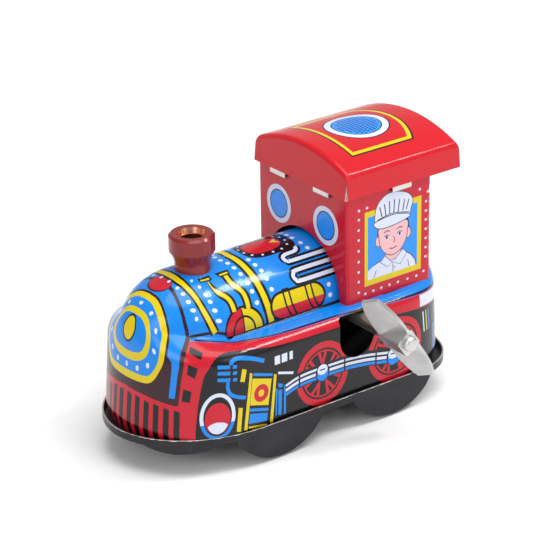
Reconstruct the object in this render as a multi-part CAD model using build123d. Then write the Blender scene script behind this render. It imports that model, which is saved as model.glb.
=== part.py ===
from build123d import *
import math
import os

# Tin clockwork train locomotive.
# +X is forward, +Y is the key side and +Z is up; the wheels stand on z = 0.
# Everything is drawn about the plane of symmetry y = 0 and moved sideways as it is
# written, so that the origin is the middle of the whole box, key included.
# All sizes are in millimetres.

# ---- sheet metal and general clearances
tin = 0.30  # every pressed tin sheet
plate = 0.50  # motor plates and front bracket
running = 0.05  # radial clearance of a turning fit
lap = 0.10  # clearance between lapped sheets
slot_play = 0.15  # clearance around a tab in its slot
through = 3.0  # height of the punch of a round hole, centred on the sheet

# ---- wheels and ground
wheel_radius = 8.3
wheel_width = 2.6
wheel_inner_y = 9.8
tyre_thickness = 0.7
axle_radius = 0.75
axle_above_floor = 1.9
slot_round_wheel = 0.8
wheel_dish = 0.6
wheel_dish_rim = 1.2  # flat ring left outside the dish
wheel_dish_hub = 0.6  # hub wall left inside it

# ---- base pan
overall_length = 76.0
pan_width = 36.3
pan_front_round = 22.9
rear_corner_radius = 12.0
rear_end_radius = 28.0
rim_height = 1.6
disc_radius = 12.1  # dummy wheels folded down from the rim
disc_ground_gap = 0.5
front_disc_from_nose = 26.8
rear_disc_from_tail = 21.1
pilot_drop = 1.4  # small flap under the nose, on each side
pilot_radius = 22.0
pilot_place = 45.0  # round the front oval from straight ahead, in degrees

# ---- body shell
shell_end_gap = 1.5
shell_side_gap = 0.35
shelf_above_floor = 18.8
shelf_width = 6.2
shoulder_radius = 2.4
boiler_nose = 18.4
boiler_tail = 18.4
nose_set_back = 0.4
key_hole_width = 8.7
key_hole_drop = 9.6  # below the shelf
key_hole_lead = 2.35  # hole centre ahead of the arbor
key_hole_top = 0.2  # metal left under the shelf
key_hole_depth = 3.0  # cut inwards, past the shoulder's round
shell_tab_width = 3.0
shell_tab_offset = 2.6
shell_tab_drop = 0.9

# ---- cab and roof
cab_length = 21.6
cab_from_tail = 8.1
cab_inset = 3.4  # in from the shell's side
arch_gap = 0.5
arch_lift = 0.4
cab_tab_width = 4.0
cab_tab_drop = 1.6
cab_tab_from_rear = 10.4
roof_above_shelf = 22.6  # lower edge of the roof's flanges
roof_flange = 5.0
roof_rise = 3.2
roof_rear_overhang = 6.9
roof_corner_gap = 0.5
roof_tab_width = 4.8
roof_tab_y = 6.9
roof_tab_from_rear = 8.2
roof_tab_drop = 0.9
roof_tab_reach = 1.4
roof_slot_play = 0.05  # clearance around the roof's tabs

# ---- chimney
chimney_from_nose = 19.4
chimney_height = 7.15
chimney_base_radius = 3.55
chimney_rim_radius = 4.55
chimney_base_band = 1.2
chimney_rim_band = 3.0
chimney_bevel = 0.45
chimney_mouth_radius = 2.97
chimney_mouth_depth = 1.2
chimney_saddle = 1.4  # blank below the crown, before it is saddled
chimney_flare_low = (0.1, 1.0)  # direction in which the flare starts, out and up
chimney_flare_high = (0.35, 0.6)  # direction in which it ends
eyelet_radius = 2.6
eyelet_wall = 0.3
eyelet_flange = 0.8

# ---- clockwork
arbor_radius = 1.5
arbor_ahead_of_axle = 6.35
arbor_above_floor = 16.1
motor_half_width = 6.5
gear_module = 0.5
great_teeth = 30
pinion_teeth = 10
second_teeth = 24
pressure_angle = 20.0
backlash = 0.08
addendum = 0.75  # in modules
dedendum = 1.2  # in modules
mesh_slack = 0.04  # added to each centre distance
flank_steps = 4  # straight pieces along a tooth's flank
pinion_clear = 0.5  # between the drive pinion and the pan
pillar_radius = 1.0
pillar_inset = 2.0  # in from the edges of the plate
spring_strip = 0.28
spring_turns = 8
spring_inner_radius = 1.95
spring_outer_radius = 7.3
spring_lead_turns = 0.3
spring_steps = 24  # points per turn
plate_rear = 9.5  # behind the drive axle
plate_low_front = 9.0
plate_high_front = 18.4
plate_step = 9.0  # above the floor
plate_height = 21.3
ratchet_teeth = 12
ratchet_tip_radius = 3.0
ratchet_root_radius = 2.4

motor_tab_width = 3.0
motor_tab_offset = 5.6  # each side of the drive axle
motor_tab_drop = 0.8
plate_corner = 1.2
arbor_end = 0.4  # arbors stand out of the plates
click_pivot_radius = 5.6
click_tip_radius = 2.9
click_rivet_radius = 0.4
click_rivet_head = 0.3
click_pivot_angle = -48.0  # round the arbor, as for the other click angles
click_tip_angle = -7.0
click_boss_radius = 0.9
click_nose_radius = 0.25
click_leaf_start = (6.1, -0.6)  # ahead of the arbor and above it
click_leaf_end = (4.35, -1.9)
click_leaf_radii = (0.45, 0.14)

# planes of the train along Y
great_y = (-5.6, -4.8)
ratchet_y = (-4.8, -4.2)
cluster_pinion_y = (-5.85, -4.55)
cluster_gear_y = (-3.4, -2.6)
drive_pinion_y = (-3.65, -2.35)
spring_y = (-1.2, 4.2)

# ---- winding key
shaft_out = 6.5  # arbor outside the shell, up to the key
key_square = 2.5
key_length = 6.3  # along the shaft
key_sheet = 0.8
key_span = 24.6
key_tip_width = 3.4
key_tilt = 28.0  # of both leaves, out of line with the shaft
key_angle = 54.0
key_rivet_radius = 1.6
key_rivet_height = 1.3
key_hub_round = 0.5
key_leaf_shares = (0, 0.4, 0.7, 0.9, 1)  # sections of a leaf, from hub to tip
key_leaf_taper = 3  # power of the share by which a leaf narrows

# ---- front axle bracket
bracket_half_length = 4.0
bracket_half_width = 8.6
bracket_rivet_radius = 0.6
bracket_rivet_head = 1.05
bracket_rivet_inset = 1.6
bracket_ear_half = 1.7

# ---- places that follow from the sizes above
floor_z = wheel_radius - axle_above_floor
floor_top = floor_z + tin
nose_x = overall_length / 2
tail_x = -overall_length / 2
pan_half = pan_width / 2
front_axle_x = nose_x - front_disc_from_nose
drive_axle_x = tail_x + rear_disc_from_tail
shell_nose = nose_x - shell_end_gap
shell_tail = tail_x + shell_end_gap
shell_half = pan_half - tin - shell_side_gap
shelf_z = floor_z + shelf_above_floor
boiler_radius = shell_half - shelf_width
crown_z = shelf_z + boiler_radius
chimney_x = nose_x - chimney_from_nose
cab_rear = tail_x + cab_from_tail
cab_front = cab_rear + cab_length
cab_half = shell_half - cab_inset
roof_bottom = shelf_z + roof_above_shelf
roof_side_top = roof_bottom + roof_flange
roof_half = cab_half + lap + tin
roof_front = cab_front + lap + tin
roof_rear = cab_rear - roof_rear_overhang
arbor_x = drive_axle_x + arbor_ahead_of_axle
arbor_z = floor_z + arbor_above_floor
key_start = shell_half + shaft_out
key_end = key_start + key_length
key_tip_y = key_end + key_rivet_height
key_side_shift = (key_tip_y - pan_half) / 2
pinion_space = gear_module * (pinion_teeth / 2 + 1) + pinion_clear


# ---- small helpers

def block(x, y, z):
    """Box between two limits along each axis."""
    size = Box(x[1] - x[0], y[1] - y[0], z[1] - z[0])
    return Pos((x[0] + x[1]) / 2, (y[0] + y[1]) / 2, (z[0] + z[1]) / 2) * size


def cross_slab(face, y):
    """Face drawn in x and z, given thickness between two y limits."""
    return Pos(0, y[1], 0) * Rot(90, 0, 0) * extrude(face, amount=y[1] - y[0])


def cross_rod(radius, y, x, z):
    """Round rod along Y."""
    return cross_slab(Pos(x, z) * Circle(radius), y)


def upright_rod(radius, z, x):
    """Round rod along Z, in the middle plane."""
    return Pos(x, 0, (z[0] + z[1]) / 2) * Cylinder(radius, z[1] - z[0])


def long_slab(face, x):
    """Face drawn in y and z, given thickness between two x limits."""
    frame = Plane(origin=(x[0], 0, 0), x_dir=(0, 1, 0), z_dir=(1, 0, 0))
    return extrude(frame * face, amount=x[1] - x[0])


def polar(radius, angle):
    """Point at a radius and an angle in degrees."""
    turn = math.radians(angle)
    return (radius * math.cos(turn), radius * math.sin(turn))


def join(solids):
    """Union of a list of solids."""
    whole = solids[0]
    for solid in solids[1:]:
        whole = whole + solid
    return whole


def mirrored(solid):
    """The same solid on the other side of the plane of symmetry."""
    return mirror(solid, about=Plane.XZ)


def plan_outline(ends, sides):
    """Oval plan of the pan, moved in by one distance at the ends and one at the sides."""
    half = pan_half - sides
    front_x = nose_x - pan_front_round
    end_radius = rear_end_radius - ends
    corner_radius = rear_corner_radius - sides
    end_x = tail_x + ends + end_radius
    corner_y = half - corner_radius
    corner_x = end_x - math.sqrt((end_radius - corner_radius) ** 2 - corner_y**2)
    turn = math.atan2(corner_y, corner_x - end_x)
    joint = (end_x + end_radius * math.cos(turn), end_radius * math.sin(turn))
    middle = (turn + math.pi / 2) / 2
    bend = (
        corner_x + corner_radius * math.cos(middle),
        corner_y + corner_radius * math.sin(middle),
    )
    upper = [
        Line((front_x, half), (corner_x, half)),
        ThreePointArc((corner_x, half), bend, joint),
    ]
    lower = [mirror(edge, about=Plane.XZ).edges()[0] for edge in upper]
    front = EllipticalCenterArc((front_x, 0), pan_front_round - ends, half, -90, arc_size=180)
    rear = ThreePointArc(joint, (tail_x + ends, 0), (joint[0], -joint[1]))
    return make_face(Wire([front, *upper, rear, *lower]))


# ---- base pan

def base_pan():
    """Black tin pan with a low rim, four dummy half wheels and two pilot flaps."""
    outer = plan_outline(0, 0)
    inner = plan_outline(tin, tin)
    pan = Pos(0, 0, floor_z) * extrude(outer, amount=rim_height)
    pan -= Pos(0, 0, floor_top) * extrude(inner, amount=rim_height)
    skirt = extrude(outer, amount=floor_z) - extrude(inner, amount=floor_z)
    disc_z = disc_ground_gap + disc_radius
    for x in (front_axle_x, drive_axle_x):
        disc = cross_rod(disc_radius, (-pan_half, pan_half), x, disc_z)
        straight = block((x - disc_radius, x + disc_radius), (-pan_half, pan_half), (0, floor_z))
        pan += skirt & disc & straight
    flap = skirt & pilot_cutter()
    pan += flap + mirrored(flap)
    for x in (front_axle_x, drive_axle_x):
        pan -= wheel_slots(x)
    pan -= block(
        (drive_axle_x - pinion_space, drive_axle_x + pinion_space),
        (drive_pinion_y[0] - slot_play, drive_pinion_y[1] + slot_play),
        (0, floor_top),
    )
    for cutter in motor_tabs(slot_play) + shell_tabs(slot_play):
        pan -= cutter
    for x in bracket_rivet_places():
        pan -= Pos(x, 0, floor_z) * Cylinder(bracket_rivet_radius, through)
    return pan


def pilot_cutter():
    """Drum square to the front oval whose lowest part gives a pilot flap its outline."""
    turn = math.radians(pilot_place)
    x = nose_x - pan_front_round + pan_front_round * math.cos(turn)
    y = pan_half * math.sin(turn)
    square_to = math.atan2(math.sin(turn) / pan_half, math.cos(turn) / pan_front_round)
    drum = Rot(0, 90, 0) * Cylinder(pilot_radius, pan_half / 2)
    centre = Pos(x, y, floor_z - pilot_drop + pilot_radius)
    return centre * Rot(0, 0, math.degrees(square_to)) * drum


def wheel_slots(x):
    """Cutters for the two wheel slots of one axle."""
    reach = wheel_radius + slot_round_wheel
    inner = wheel_inner_y - slot_round_wheel
    outer = wheel_inner_y + wheel_width + slot_round_wheel
    slot = block((x - reach, x + reach), (inner, outer), (0, floor_top))
    return slot + mirrored(slot)


def motor_tabs(play):
    """Tabs of the motor plates, or with play the slots for them."""
    tabs = []
    for side in (1, -1):
        outer = side * motor_half_width
        inner = outer - side * plate
        y = (min(outer, inner) - play, max(outer, inner) + play)
        for x in (drive_axle_x - motor_tab_offset, drive_axle_x + motor_tab_offset):
            half = motor_tab_width / 2 + play
            tabs.append(block((x - half, x + half), y, (floor_z - motor_tab_drop, floor_top)))
    return tabs


def shell_tabs(play):
    """Lock tabs along the skirt of the shell, or with play the slots for them."""
    tabs = []
    middle = (front_axle_x + drive_axle_x) / 2
    for side in (1, -1):
        outer = side * shell_half
        inner = outer - side * tin
        y = (min(outer, inner) - play, max(outer, inner) + play)
        for x in (middle - shell_tab_offset, middle + shell_tab_offset):
            half = shell_tab_width / 2 + play
            tabs.append(block((x - half, x + half), y, (floor_z - shell_tab_drop, floor_top)))
    return tabs


def bracket_rivet_places():
    """Places of the two bracket rivets along X."""
    offset = bracket_half_length - bracket_rivet_inset
    return (front_axle_x - offset, front_axle_x + offset)


# ---- body shell

def body_form(inset):
    """Skirt with a rounded shoulder and a half-round boiler, walls moved in by inset."""
    start = floor_top - (tin if inset else 0)
    oval = plan_outline(shell_end_gap + inset, tin + shell_side_gap + inset)
    skirt = Pos(0, 0, start) * extrude(oval, amount=shelf_z - inset - start)
    skirt = fillet(skirt.edges().group_by(Axis.Z)[-1], shoulder_radius - inset)
    radius = boiler_radius - inset
    tip = shell_nose - nose_set_back - inset
    tail = shell_tail + nose_set_back + inset
    nose = EllipticalCenterArc((tip - boiler_nose, 0), boiler_nose, radius, 0, arc_size=90)
    rear = EllipticalCenterArc((tail + boiler_tail, 0), boiler_tail, radius, 90, arc_size=90)
    crown = Line(nose @ 1, rear @ 0)
    base = Line(rear @ 1, nose @ 0)
    profile = make_face(Wire([nose, crown, rear, base]))
    boiler = Pos(0, 0, shelf_z) * revolve(Rot(90, 0, 0) * profile, Axis.X, 360)
    return skirt + boiler


def key_hole():
    """Cutter for the U-shaped opening round the arbor, open up to the shelf's fold."""
    half = key_hole_width / 2
    x = arbor_x + key_hole_lead
    bottom = shelf_z - key_hole_drop
    y = (shell_half - key_hole_depth, shell_half + slot_play)
    upright = block((x - half, x + half), y, (bottom + half, shelf_z - key_hole_top))
    return upright + cross_rod(half, y, x, bottom + half)


def cab_tabs(play):
    """Tabs of the cab's side walls, or with play the slots for them."""
    tabs = []
    middle = cab_rear + cab_tab_from_rear
    half = cab_tab_width / 2 + play
    for side in (1, -1):
        outer = side * cab_half
        inner = outer - side * tin
        y = (min(outer, inner) - play, max(outer, inner) + play)
        tabs.append(block((middle - half, middle + half), y, (shelf_z - cab_tab_drop, shelf_z)))
    return tabs


def body_shell():
    """Printed tin shell: boiler, shelf and skirt in one pressing."""
    shell = body_form(0) - body_form(tin)
    shell -= key_hole()
    shell -= Pos(chimney_x, 0, crown_z) * Cylinder(eyelet_radius + running, through)
    for slot in cab_tabs(slot_play):
        shell -= slot
    for tab in shell_tabs(0):
        shell += tab
    return shell


# ---- cab and roof

def roof_section(inset):
    """Barrel section with flat sides, moved in by inset, as a face in y and z."""
    half = roof_half - inset
    side_top = roof_side_top - inset
    crown = roof_side_top + roof_rise - inset
    arch = ThreePointArc((half, side_top), (0, crown), (-half, side_top))
    left = Line(arch @ 1, (-half, roof_bottom))
    base = Line(left @ 1, (half, roof_bottom))
    right = Line(base @ 1, arch @ 0)
    return make_face(Wire([arch, left, base, right]))


def roof_tabs(play):
    """Tabs under the roof's flanges, or with play the slots for them in the cab."""
    low = roof_bottom - roof_tab_drop
    half = roof_tab_width / 2 + play
    tabs = []
    for side in (1, -1):
        y = (side * roof_tab_y - half, side * roof_tab_y + half)
        lip = block((cab_front - roof_tab_reach, roof_front), y, (low - play, low + tin + play))
        if not play:
            lip = lip + block((roof_front - tin, roof_front), y, (low, roof_bottom))
        tabs.append(lip)
    middle = cab_rear + roof_tab_from_rear
    x = (middle - half, middle + half)
    lip = block(x, (cab_half - roof_tab_reach, roof_half), (low - play, low + tin + play))
    if not play:
        lip = lip + block(x, (roof_half - tin, roof_half), (low, roof_bottom))
    tabs += [lip, mirrored(lip)]
    return tabs


def cab():
    """Four printed walls folded from one sheet, arched over the boiler."""
    walls = block((cab_rear, cab_front), (-cab_half, cab_half), (shelf_z, roof_side_top + roof_rise))
    walls &= long_slab(roof_section(tin), (roof_rear, roof_front)) + block(
        (cab_rear, cab_front), (-cab_half, cab_half), (shelf_z, roof_bottom)
    )
    walls -= block(
        (cab_rear + tin, cab_front - tin),
        (-cab_half + tin, cab_half - tin),
        (shelf_z, roof_side_top + roof_rise),
    )
    front_arch = Pos(0, shelf_z + arch_lift) * Circle(boiler_radius + arch_gap)
    walls -= long_slab(front_arch, (cab_front - 2 * tin, cab_front + tin))
    depth = boiler_tail + shell_tail + nose_set_back - cab_rear
    rear_radius = boiler_radius * math.sqrt(1 - max(0, depth / boiler_tail) ** 2)
    rear_arch = Pos(0, shelf_z + arch_lift) * Circle(rear_radius + arch_gap)
    walls -= long_slab(rear_arch, (cab_rear - tin, cab_rear + 2 * tin))
    for tab in cab_tabs(0):
        walls += tab
    for slot in roof_tabs(roof_slot_play):
        walls -= slot
    return walls


def cab_roof():
    """Barrel roof with folded flanges, open at its corners, and tabs under them."""
    roof = long_slab(roof_section(0), (roof_rear, roof_front))
    roof -= long_slab(roof_section(tin), (roof_rear + tin, roof_front - tin))
    for x in (roof_rear, roof_front):
        for y in (-roof_half, roof_half):
            corner = (roof_bottom, roof_side_top)
            gap = roof_corner_gap
            roof -= block((x - gap, x + gap), (y - gap, y + gap), corner)
    for tab in roof_tabs(0):
        roof += tab
    return roof


# ---- chimney

def chimney():
    """Turned chimney, saddled onto the boiler and bored for its eyelet."""
    base = crown_z - chimney_saddle
    band_top = crown_z + chimney_base_band
    top = crown_z + chimney_height
    rim_low = top - chimney_rim_band - chimney_bevel
    flare = Spline(
        [(chimney_base_radius, band_top), (chimney_rim_radius, rim_low)],
        tangents=[chimney_flare_low, chimney_flare_high],
    )
    outline = [
        Line((eyelet_radius, base), (chimney_base_radius, base)),
        Line((chimney_base_radius, base), (chimney_base_radius, band_top)),
        flare,
        Line((chimney_rim_radius, rim_low), (chimney_rim_radius, top - chimney_bevel)),
        Line((chimney_rim_radius, top - chimney_bevel), (chimney_rim_radius - chimney_bevel, top)),
        Line((chimney_rim_radius - chimney_bevel, top), (chimney_mouth_radius, top)),
        Line((chimney_mouth_radius, top), (eyelet_radius, top - chimney_mouth_depth)),
        Line((eyelet_radius, top - chimney_mouth_depth), (eyelet_radius, base)),
    ]
    turned = revolve(Rot(90, 0, 0) * make_face(Wire(outline)), Axis.Z, 360)
    return Pos(chimney_x, 0, 0) * turned - body_form(0)


def chimney_eyelet():
    """Tube that clamps the chimney, flared against the inside of the shell."""
    top = crown_z + chimney_height - chimney_mouth_depth
    wide = eyelet_radius + eyelet_flange
    inner = boiler_radius - tin
    seat = shelf_z + math.sqrt(inner**2 - wide**2) - running
    tube = upright_rod(eyelet_radius, (seat, top), chimney_x)
    flange = upright_rod(wide, (seat - tin, seat), chimney_x)
    bore = upright_rod(eyelet_radius - eyelet_wall, (seat - 2 * tin, top + tin), chimney_x)
    return tube + flange - bore


# ---- clockwork

def gear(teeth, y, x, z, phase, bore):
    """Spur gear with involute flanks; a tooth points at the phase angle, in degrees."""
    slope = math.radians(pressure_angle)
    pitch = gear_module * teeth / 2
    base = pitch * math.cos(slope)
    tip = pitch + addendum * gear_module
    root = pitch - dedendum * gear_module
    half_tooth = math.pi / (2 * teeth) - backlash / (2 * pitch)
    flank = []
    lowest = max(base, root)
    for step in range(flank_steps + 1):
        radius = lowest + (tip - lowest) * step / flank_steps
        roll = math.acos(base / radius)
        spread = half_tooth + math.tan(slope) - slope - (math.tan(roll) - roll)
        flank.append((radius, math.degrees(spread)))
    points = []
    for tooth in range(teeth):
        middle = phase + 360 * tooth / teeth
        points.append(polar(root, middle - flank[0][1]))
        points += [polar(radius, middle - spread) for radius, spread in flank]
        points += [polar(radius, middle + spread) for radius, spread in reversed(flank)]
        points.append(polar(root, middle + flank[0][1]))
    corners = 2 * (flank_steps + 2)
    if root >= base:
        points = [p for i, p in enumerate(points) if i % corners not in (0, corners - 1)]
    blank = make_face(Polyline(points, close=True)) - Circle(bore)
    return cross_slab(Pos(x, z) * blank, y)


def cluster_place():
    """Centre of the middle arbor, from the two centre distances."""
    first = gear_module * (great_teeth + pinion_teeth) / 2 + mesh_slack
    second = gear_module * (second_teeth + pinion_teeth) / 2 + mesh_slack
    dx = drive_axle_x - arbor_x
    dz = wheel_radius - arbor_z
    apart = math.hypot(dx, dz)
    along = (first**2 - second**2 + apart**2) / (2 * apart)
    across = math.sqrt(first**2 - along**2)
    x = arbor_x + (along * dx + across * dz) / apart
    z = arbor_z + (along * dz - across * dx) / apart
    return (x, z)


def direction(start, end):
    """Angle from one point to another, in degrees."""
    return math.degrees(math.atan2(end[1] - start[1], end[0] - start[0]))


def motor_plate(side):
    """Side plate of the motor, with its bearing holes and two tabs below."""
    x = (drive_axle_x - plate_rear, drive_axle_x + plate_low_front, drive_axle_x + plate_high_front)
    z = (floor_top, floor_top + plate_step, floor_top + plate_height)
    outline = [(x[0], z[0]), (x[1], z[0]), (x[1], z[1]), (x[2], z[1]), (x[2], z[2]), (x[0], z[2])]
    face = fillet(make_face(Polyline(outline, close=True)).vertices(), plate_corner)
    face -= Pos(arbor_x, arbor_z) * Circle(arbor_radius + running)
    face -= Pos(*cluster_place()) * Circle(axle_radius + running)
    face -= Pos(drive_axle_x, wheel_radius) * Circle(axle_radius + running)
    outer = side * motor_half_width
    y = sorted((outer, outer - side * plate))
    metal = cross_slab(face, y)
    for tab in motor_tabs(0):
        if side * tab.center().Y > 0:
            metal += tab
    return metal


def pillar_places():
    """Centres of the three plain pillars in x and z."""
    rear = drive_axle_x - plate_rear + pillar_inset
    low = floor_top + pillar_inset
    return [
        (rear, floor_top + plate_height - pillar_inset),
        (rear, low),
        (drive_axle_x + plate_low_front - pillar_inset, low),
    ]


def spring_post_place():
    """Centre of the pillar that holds the outer end of the mainspring."""
    front = drive_axle_x + plate_high_front - pillar_inset
    return (front, floor_top + plate_height - pillar_inset)


def pillar(x, z):
    """Pillar shouldered between the motor plates."""
    inner = motor_half_width - plate
    return cross_rod(pillar_radius, (-inner, inner), x, z)


def mainspring():
    """Flat strip wound in a spiral round the arbor, its outer end led out to the post."""
    post = spring_post_place()
    toward = direction((arbor_x, arbor_z), post)
    post_reach = math.hypot(post[0] - arbor_x, post[1] - arbor_z)
    lead = post_reach - pillar_radius - spring_strip / 2 - spring_outer_radius
    steps = spring_turns * spring_steps
    edges = []
    for offset in (-spring_strip / 2, spring_strip / 2):
        points = []
        for step in range(steps + 1):
            share = step / steps
            last = max(0, 1 - (1 - share) * spring_turns / spring_lead_turns)
            radius = spring_inner_radius + (spring_outer_radius - spring_inner_radius) * share
            radius += lead * last**2 + offset
            x, z = polar(radius, toward + 360 * spring_turns * share)
            points.append((arbor_x + x, arbor_z + z))
        edges.append(Spline(points))
    inner_end = Line(edges[0] @ 0, edges[1] @ 0)
    outer_end = Line(edges[1] @ 1, edges[0] @ 1)
    strip = make_face(Wire([edges[0], outer_end, edges[1], inner_end]))
    return cross_slab(strip, spring_y)


def winding_arbor():
    """Arbor from the far plate out through the shell, squared for the key."""
    inner = -motor_half_width - arbor_end
    round_part = cross_rod(arbor_radius, (inner, key_start), arbor_x, arbor_z)
    square = Rot(0, 0, key_angle) * Rectangle(key_square, key_square)
    squared = cross_slab(Pos(arbor_x, arbor_z) * square, (key_start, key_end))
    return round_part + squared


def ratchet_wheel():
    """Saw-toothed wheel fixed on the arbor."""
    points = []
    for tooth in range(ratchet_teeth):
        angle = 360 * tooth / ratchet_teeth
        points.append(polar(ratchet_root_radius, angle))
        points.append(polar(ratchet_tip_radius, angle))
    face = make_face(Polyline(points, close=True)) - Circle(arbor_radius)
    return cross_slab(Pos(arbor_x, arbor_z) * face, ratchet_y)


def bar(start, end, start_radius, end_radius):
    """Face of a bar with two rounded ends."""
    reach = end[0] - start[0]
    rise = end[1] - start[1]
    length = math.hypot(reach, rise)
    lean = math.acos((start_radius - end_radius) / length)
    turn = math.atan2(rise, reach)
    sides = []
    for sign in (1, -1):
        angle = turn + sign * lean
        unit = (math.cos(angle), math.sin(angle))
        sides.append((start[0] + start_radius * unit[0], start[1] + start_radius * unit[1]))
        sides.append((end[0] + end_radius * unit[0], end[1] + end_radius * unit[1]))
    web = make_face(Polyline([sides[0], sides[1], sides[3], sides[2]], close=True))
    return web + Pos(*start) * Circle(start_radius) + Pos(*end) * Circle(end_radius)


def click():
    """Pawl that the ratchet wheel drives, turning on its rivet."""
    pivot = polar(click_pivot_radius, click_pivot_angle)
    tip = polar(click_tip_radius, click_tip_angle)
    arm = bar(pivot, tip, click_boss_radius, click_nose_radius)
    arm -= Pos(*pivot) * Circle(click_rivet_radius)
    return cross_slab(Pos(arbor_x, arbor_z) * arm, ratchet_y)


def click_spring():
    """Short leaf that holds the click against the ratchet wheel."""
    leaf = bar(click_leaf_start, click_leaf_end, *click_leaf_radii)
    return cross_slab(Pos(arbor_x, arbor_z) * leaf, ratchet_y)


def click_rivet():
    """Rivet through the great gear, headed on both sides of the click."""
    x, z = polar(click_pivot_radius, click_pivot_angle)
    x += arbor_x
    z += arbor_z
    shank = cross_rod(click_rivet_radius, (great_y[0], ratchet_y[1]), x, z)
    head = cross_rod(2 * click_rivet_radius, (ratchet_y[1], ratchet_y[1] + click_rivet_head), x, z)
    return shank + head


def great_gear():
    """Largest gear, turned by the click on its face."""
    toward = direction((arbor_x, arbor_z), cluster_place())
    wheel = gear(great_teeth, great_y, arbor_x, arbor_z, toward, arbor_radius)
    x, z = polar(click_pivot_radius, click_pivot_angle)
    return wheel - cross_rod(click_rivet_radius, great_y, arbor_x + x, arbor_z + z)


def cluster_phase():
    """Angle of a cluster pinion tooth that leaves a gap towards the great gear."""
    back = direction(cluster_place(), (arbor_x, arbor_z))
    return back + 180 / pinion_teeth


def cluster_parts():
    """Middle arbor with its pinion and the second gear."""
    x, z = cluster_place()
    inner = motor_half_width + arbor_end
    toward = direction((x, z), (drive_axle_x, wheel_radius))
    return {
        "cluster_arbor": cross_rod(axle_radius, (-inner, inner), x, z),
        "cluster_pinion": gear(pinion_teeth, cluster_pinion_y, x, z, cluster_phase(), axle_radius),
        "cluster_gear": gear(second_teeth, cluster_gear_y, x, z, toward, axle_radius),
    }


def wheel_and_tyre(x, name, side):
    """Pressed-on wheel with a hub, and the tyre round it."""
    rim = wheel_radius - tyre_thickness
    outer = wheel_inner_y + wheel_width
    y = (wheel_inner_y, outer)
    body = cross_slab(Pos(x, wheel_radius) * (Circle(rim) - Circle(axle_radius)), y)
    dish = Pos(x, wheel_radius) * (Circle(rim - wheel_dish_rim) - Circle(2 * axle_radius + wheel_dish_hub))
    body -= cross_slab(dish, (outer - wheel_dish, outer))
    tyre = cross_slab(Pos(x, wheel_radius) * (Circle(wheel_radius) - Circle(rim)), y)
    pair = {name + "_wheel": body, name + "_tyre": tyre}
    suffix = "_left" if side > 0 else "_right"
    return {node + suffix: solid if side > 0 else mirrored(solid) for node, solid in pair.items()}


def key_wings():
    """Winding key: two tilted leaves folded from a square hub."""
    hub = Pos(arbor_x, (key_start + key_end) / 2, arbor_z) * Rot(0, -key_angle, 0)
    outer = key_square + 2 * key_sheet
    body = Box(outer, key_length, outer) - Box(key_square, key_length, key_square)
    body = fillet(body.edges().filter_by(Axis.Y).group_by(SortBy.LENGTH)[-1][:4], key_hub_round)
    leaf = loft([leaf_section(share) for share in key_leaf_shares])
    leaves = leaf + mirror(leaf, about=Plane.YZ)
    cavity = Box(key_square, key_length, key_square)
    return hub * (body + leaves - cavity)


def leaf_section(share):
    """Section of a key leaf, at a share of the way from its hub to its tip."""
    start = key_square / 2 + key_sheet / 2
    reach = start + (key_span / 2 - start) * share
    width = key_length + (key_tip_width - key_length) * share**key_leaf_taper
    frame = Plane(origin=(reach, 0, 0), x_dir=(0, 1, 0), z_dir=(1, 0, 0))
    return frame * Rot(0, 0, key_tilt) * Rectangle(width, key_sheet)


def key_rivet():
    """Domed end of the shaft that holds the key on."""
    dome = cross_rod(key_rivet_radius, (key_end, key_tip_y), arbor_x, arbor_z)
    return fillet(dome.edges().group_by(Axis.Y)[-1], key_rivet_radius / 2)


def front_bracket():
    """Folded bracket on the pan that carries the front axle."""
    x = (front_axle_x - bracket_half_length, front_axle_x + bracket_half_length)
    outer = bracket_half_width
    base = block(x, (-outer, outer), (floor_top, floor_top + plate))
    ear = block(
        (front_axle_x - bracket_ear_half, front_axle_x + bracket_ear_half),
        (outer - plate, outer),
        (floor_top, wheel_radius + bracket_ear_half),
    )
    metal = base + ear + mirrored(ear)
    metal -= cross_rod(axle_radius + running, (-outer, outer), front_axle_x, wheel_radius)
    for place in bracket_rivet_places():
        metal -= Pos(place, 0, floor_top) * Cylinder(bracket_rivet_radius, through)
    return metal


def bracket_rivets():
    """Two rivets through the bracket and the pan."""
    seat = floor_top + plate
    rivets = []
    for place in bracket_rivet_places():
        shank = upright_rod(bracket_rivet_radius, (floor_z, seat), place)
        top = upright_rod(bracket_rivet_head, (seat, seat + tin), place)
        foot = upright_rod(bracket_rivet_head, (floor_z - tin, floor_z), place)
        rivets.append(shank + top + foot)
    return join(rivets)


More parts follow.
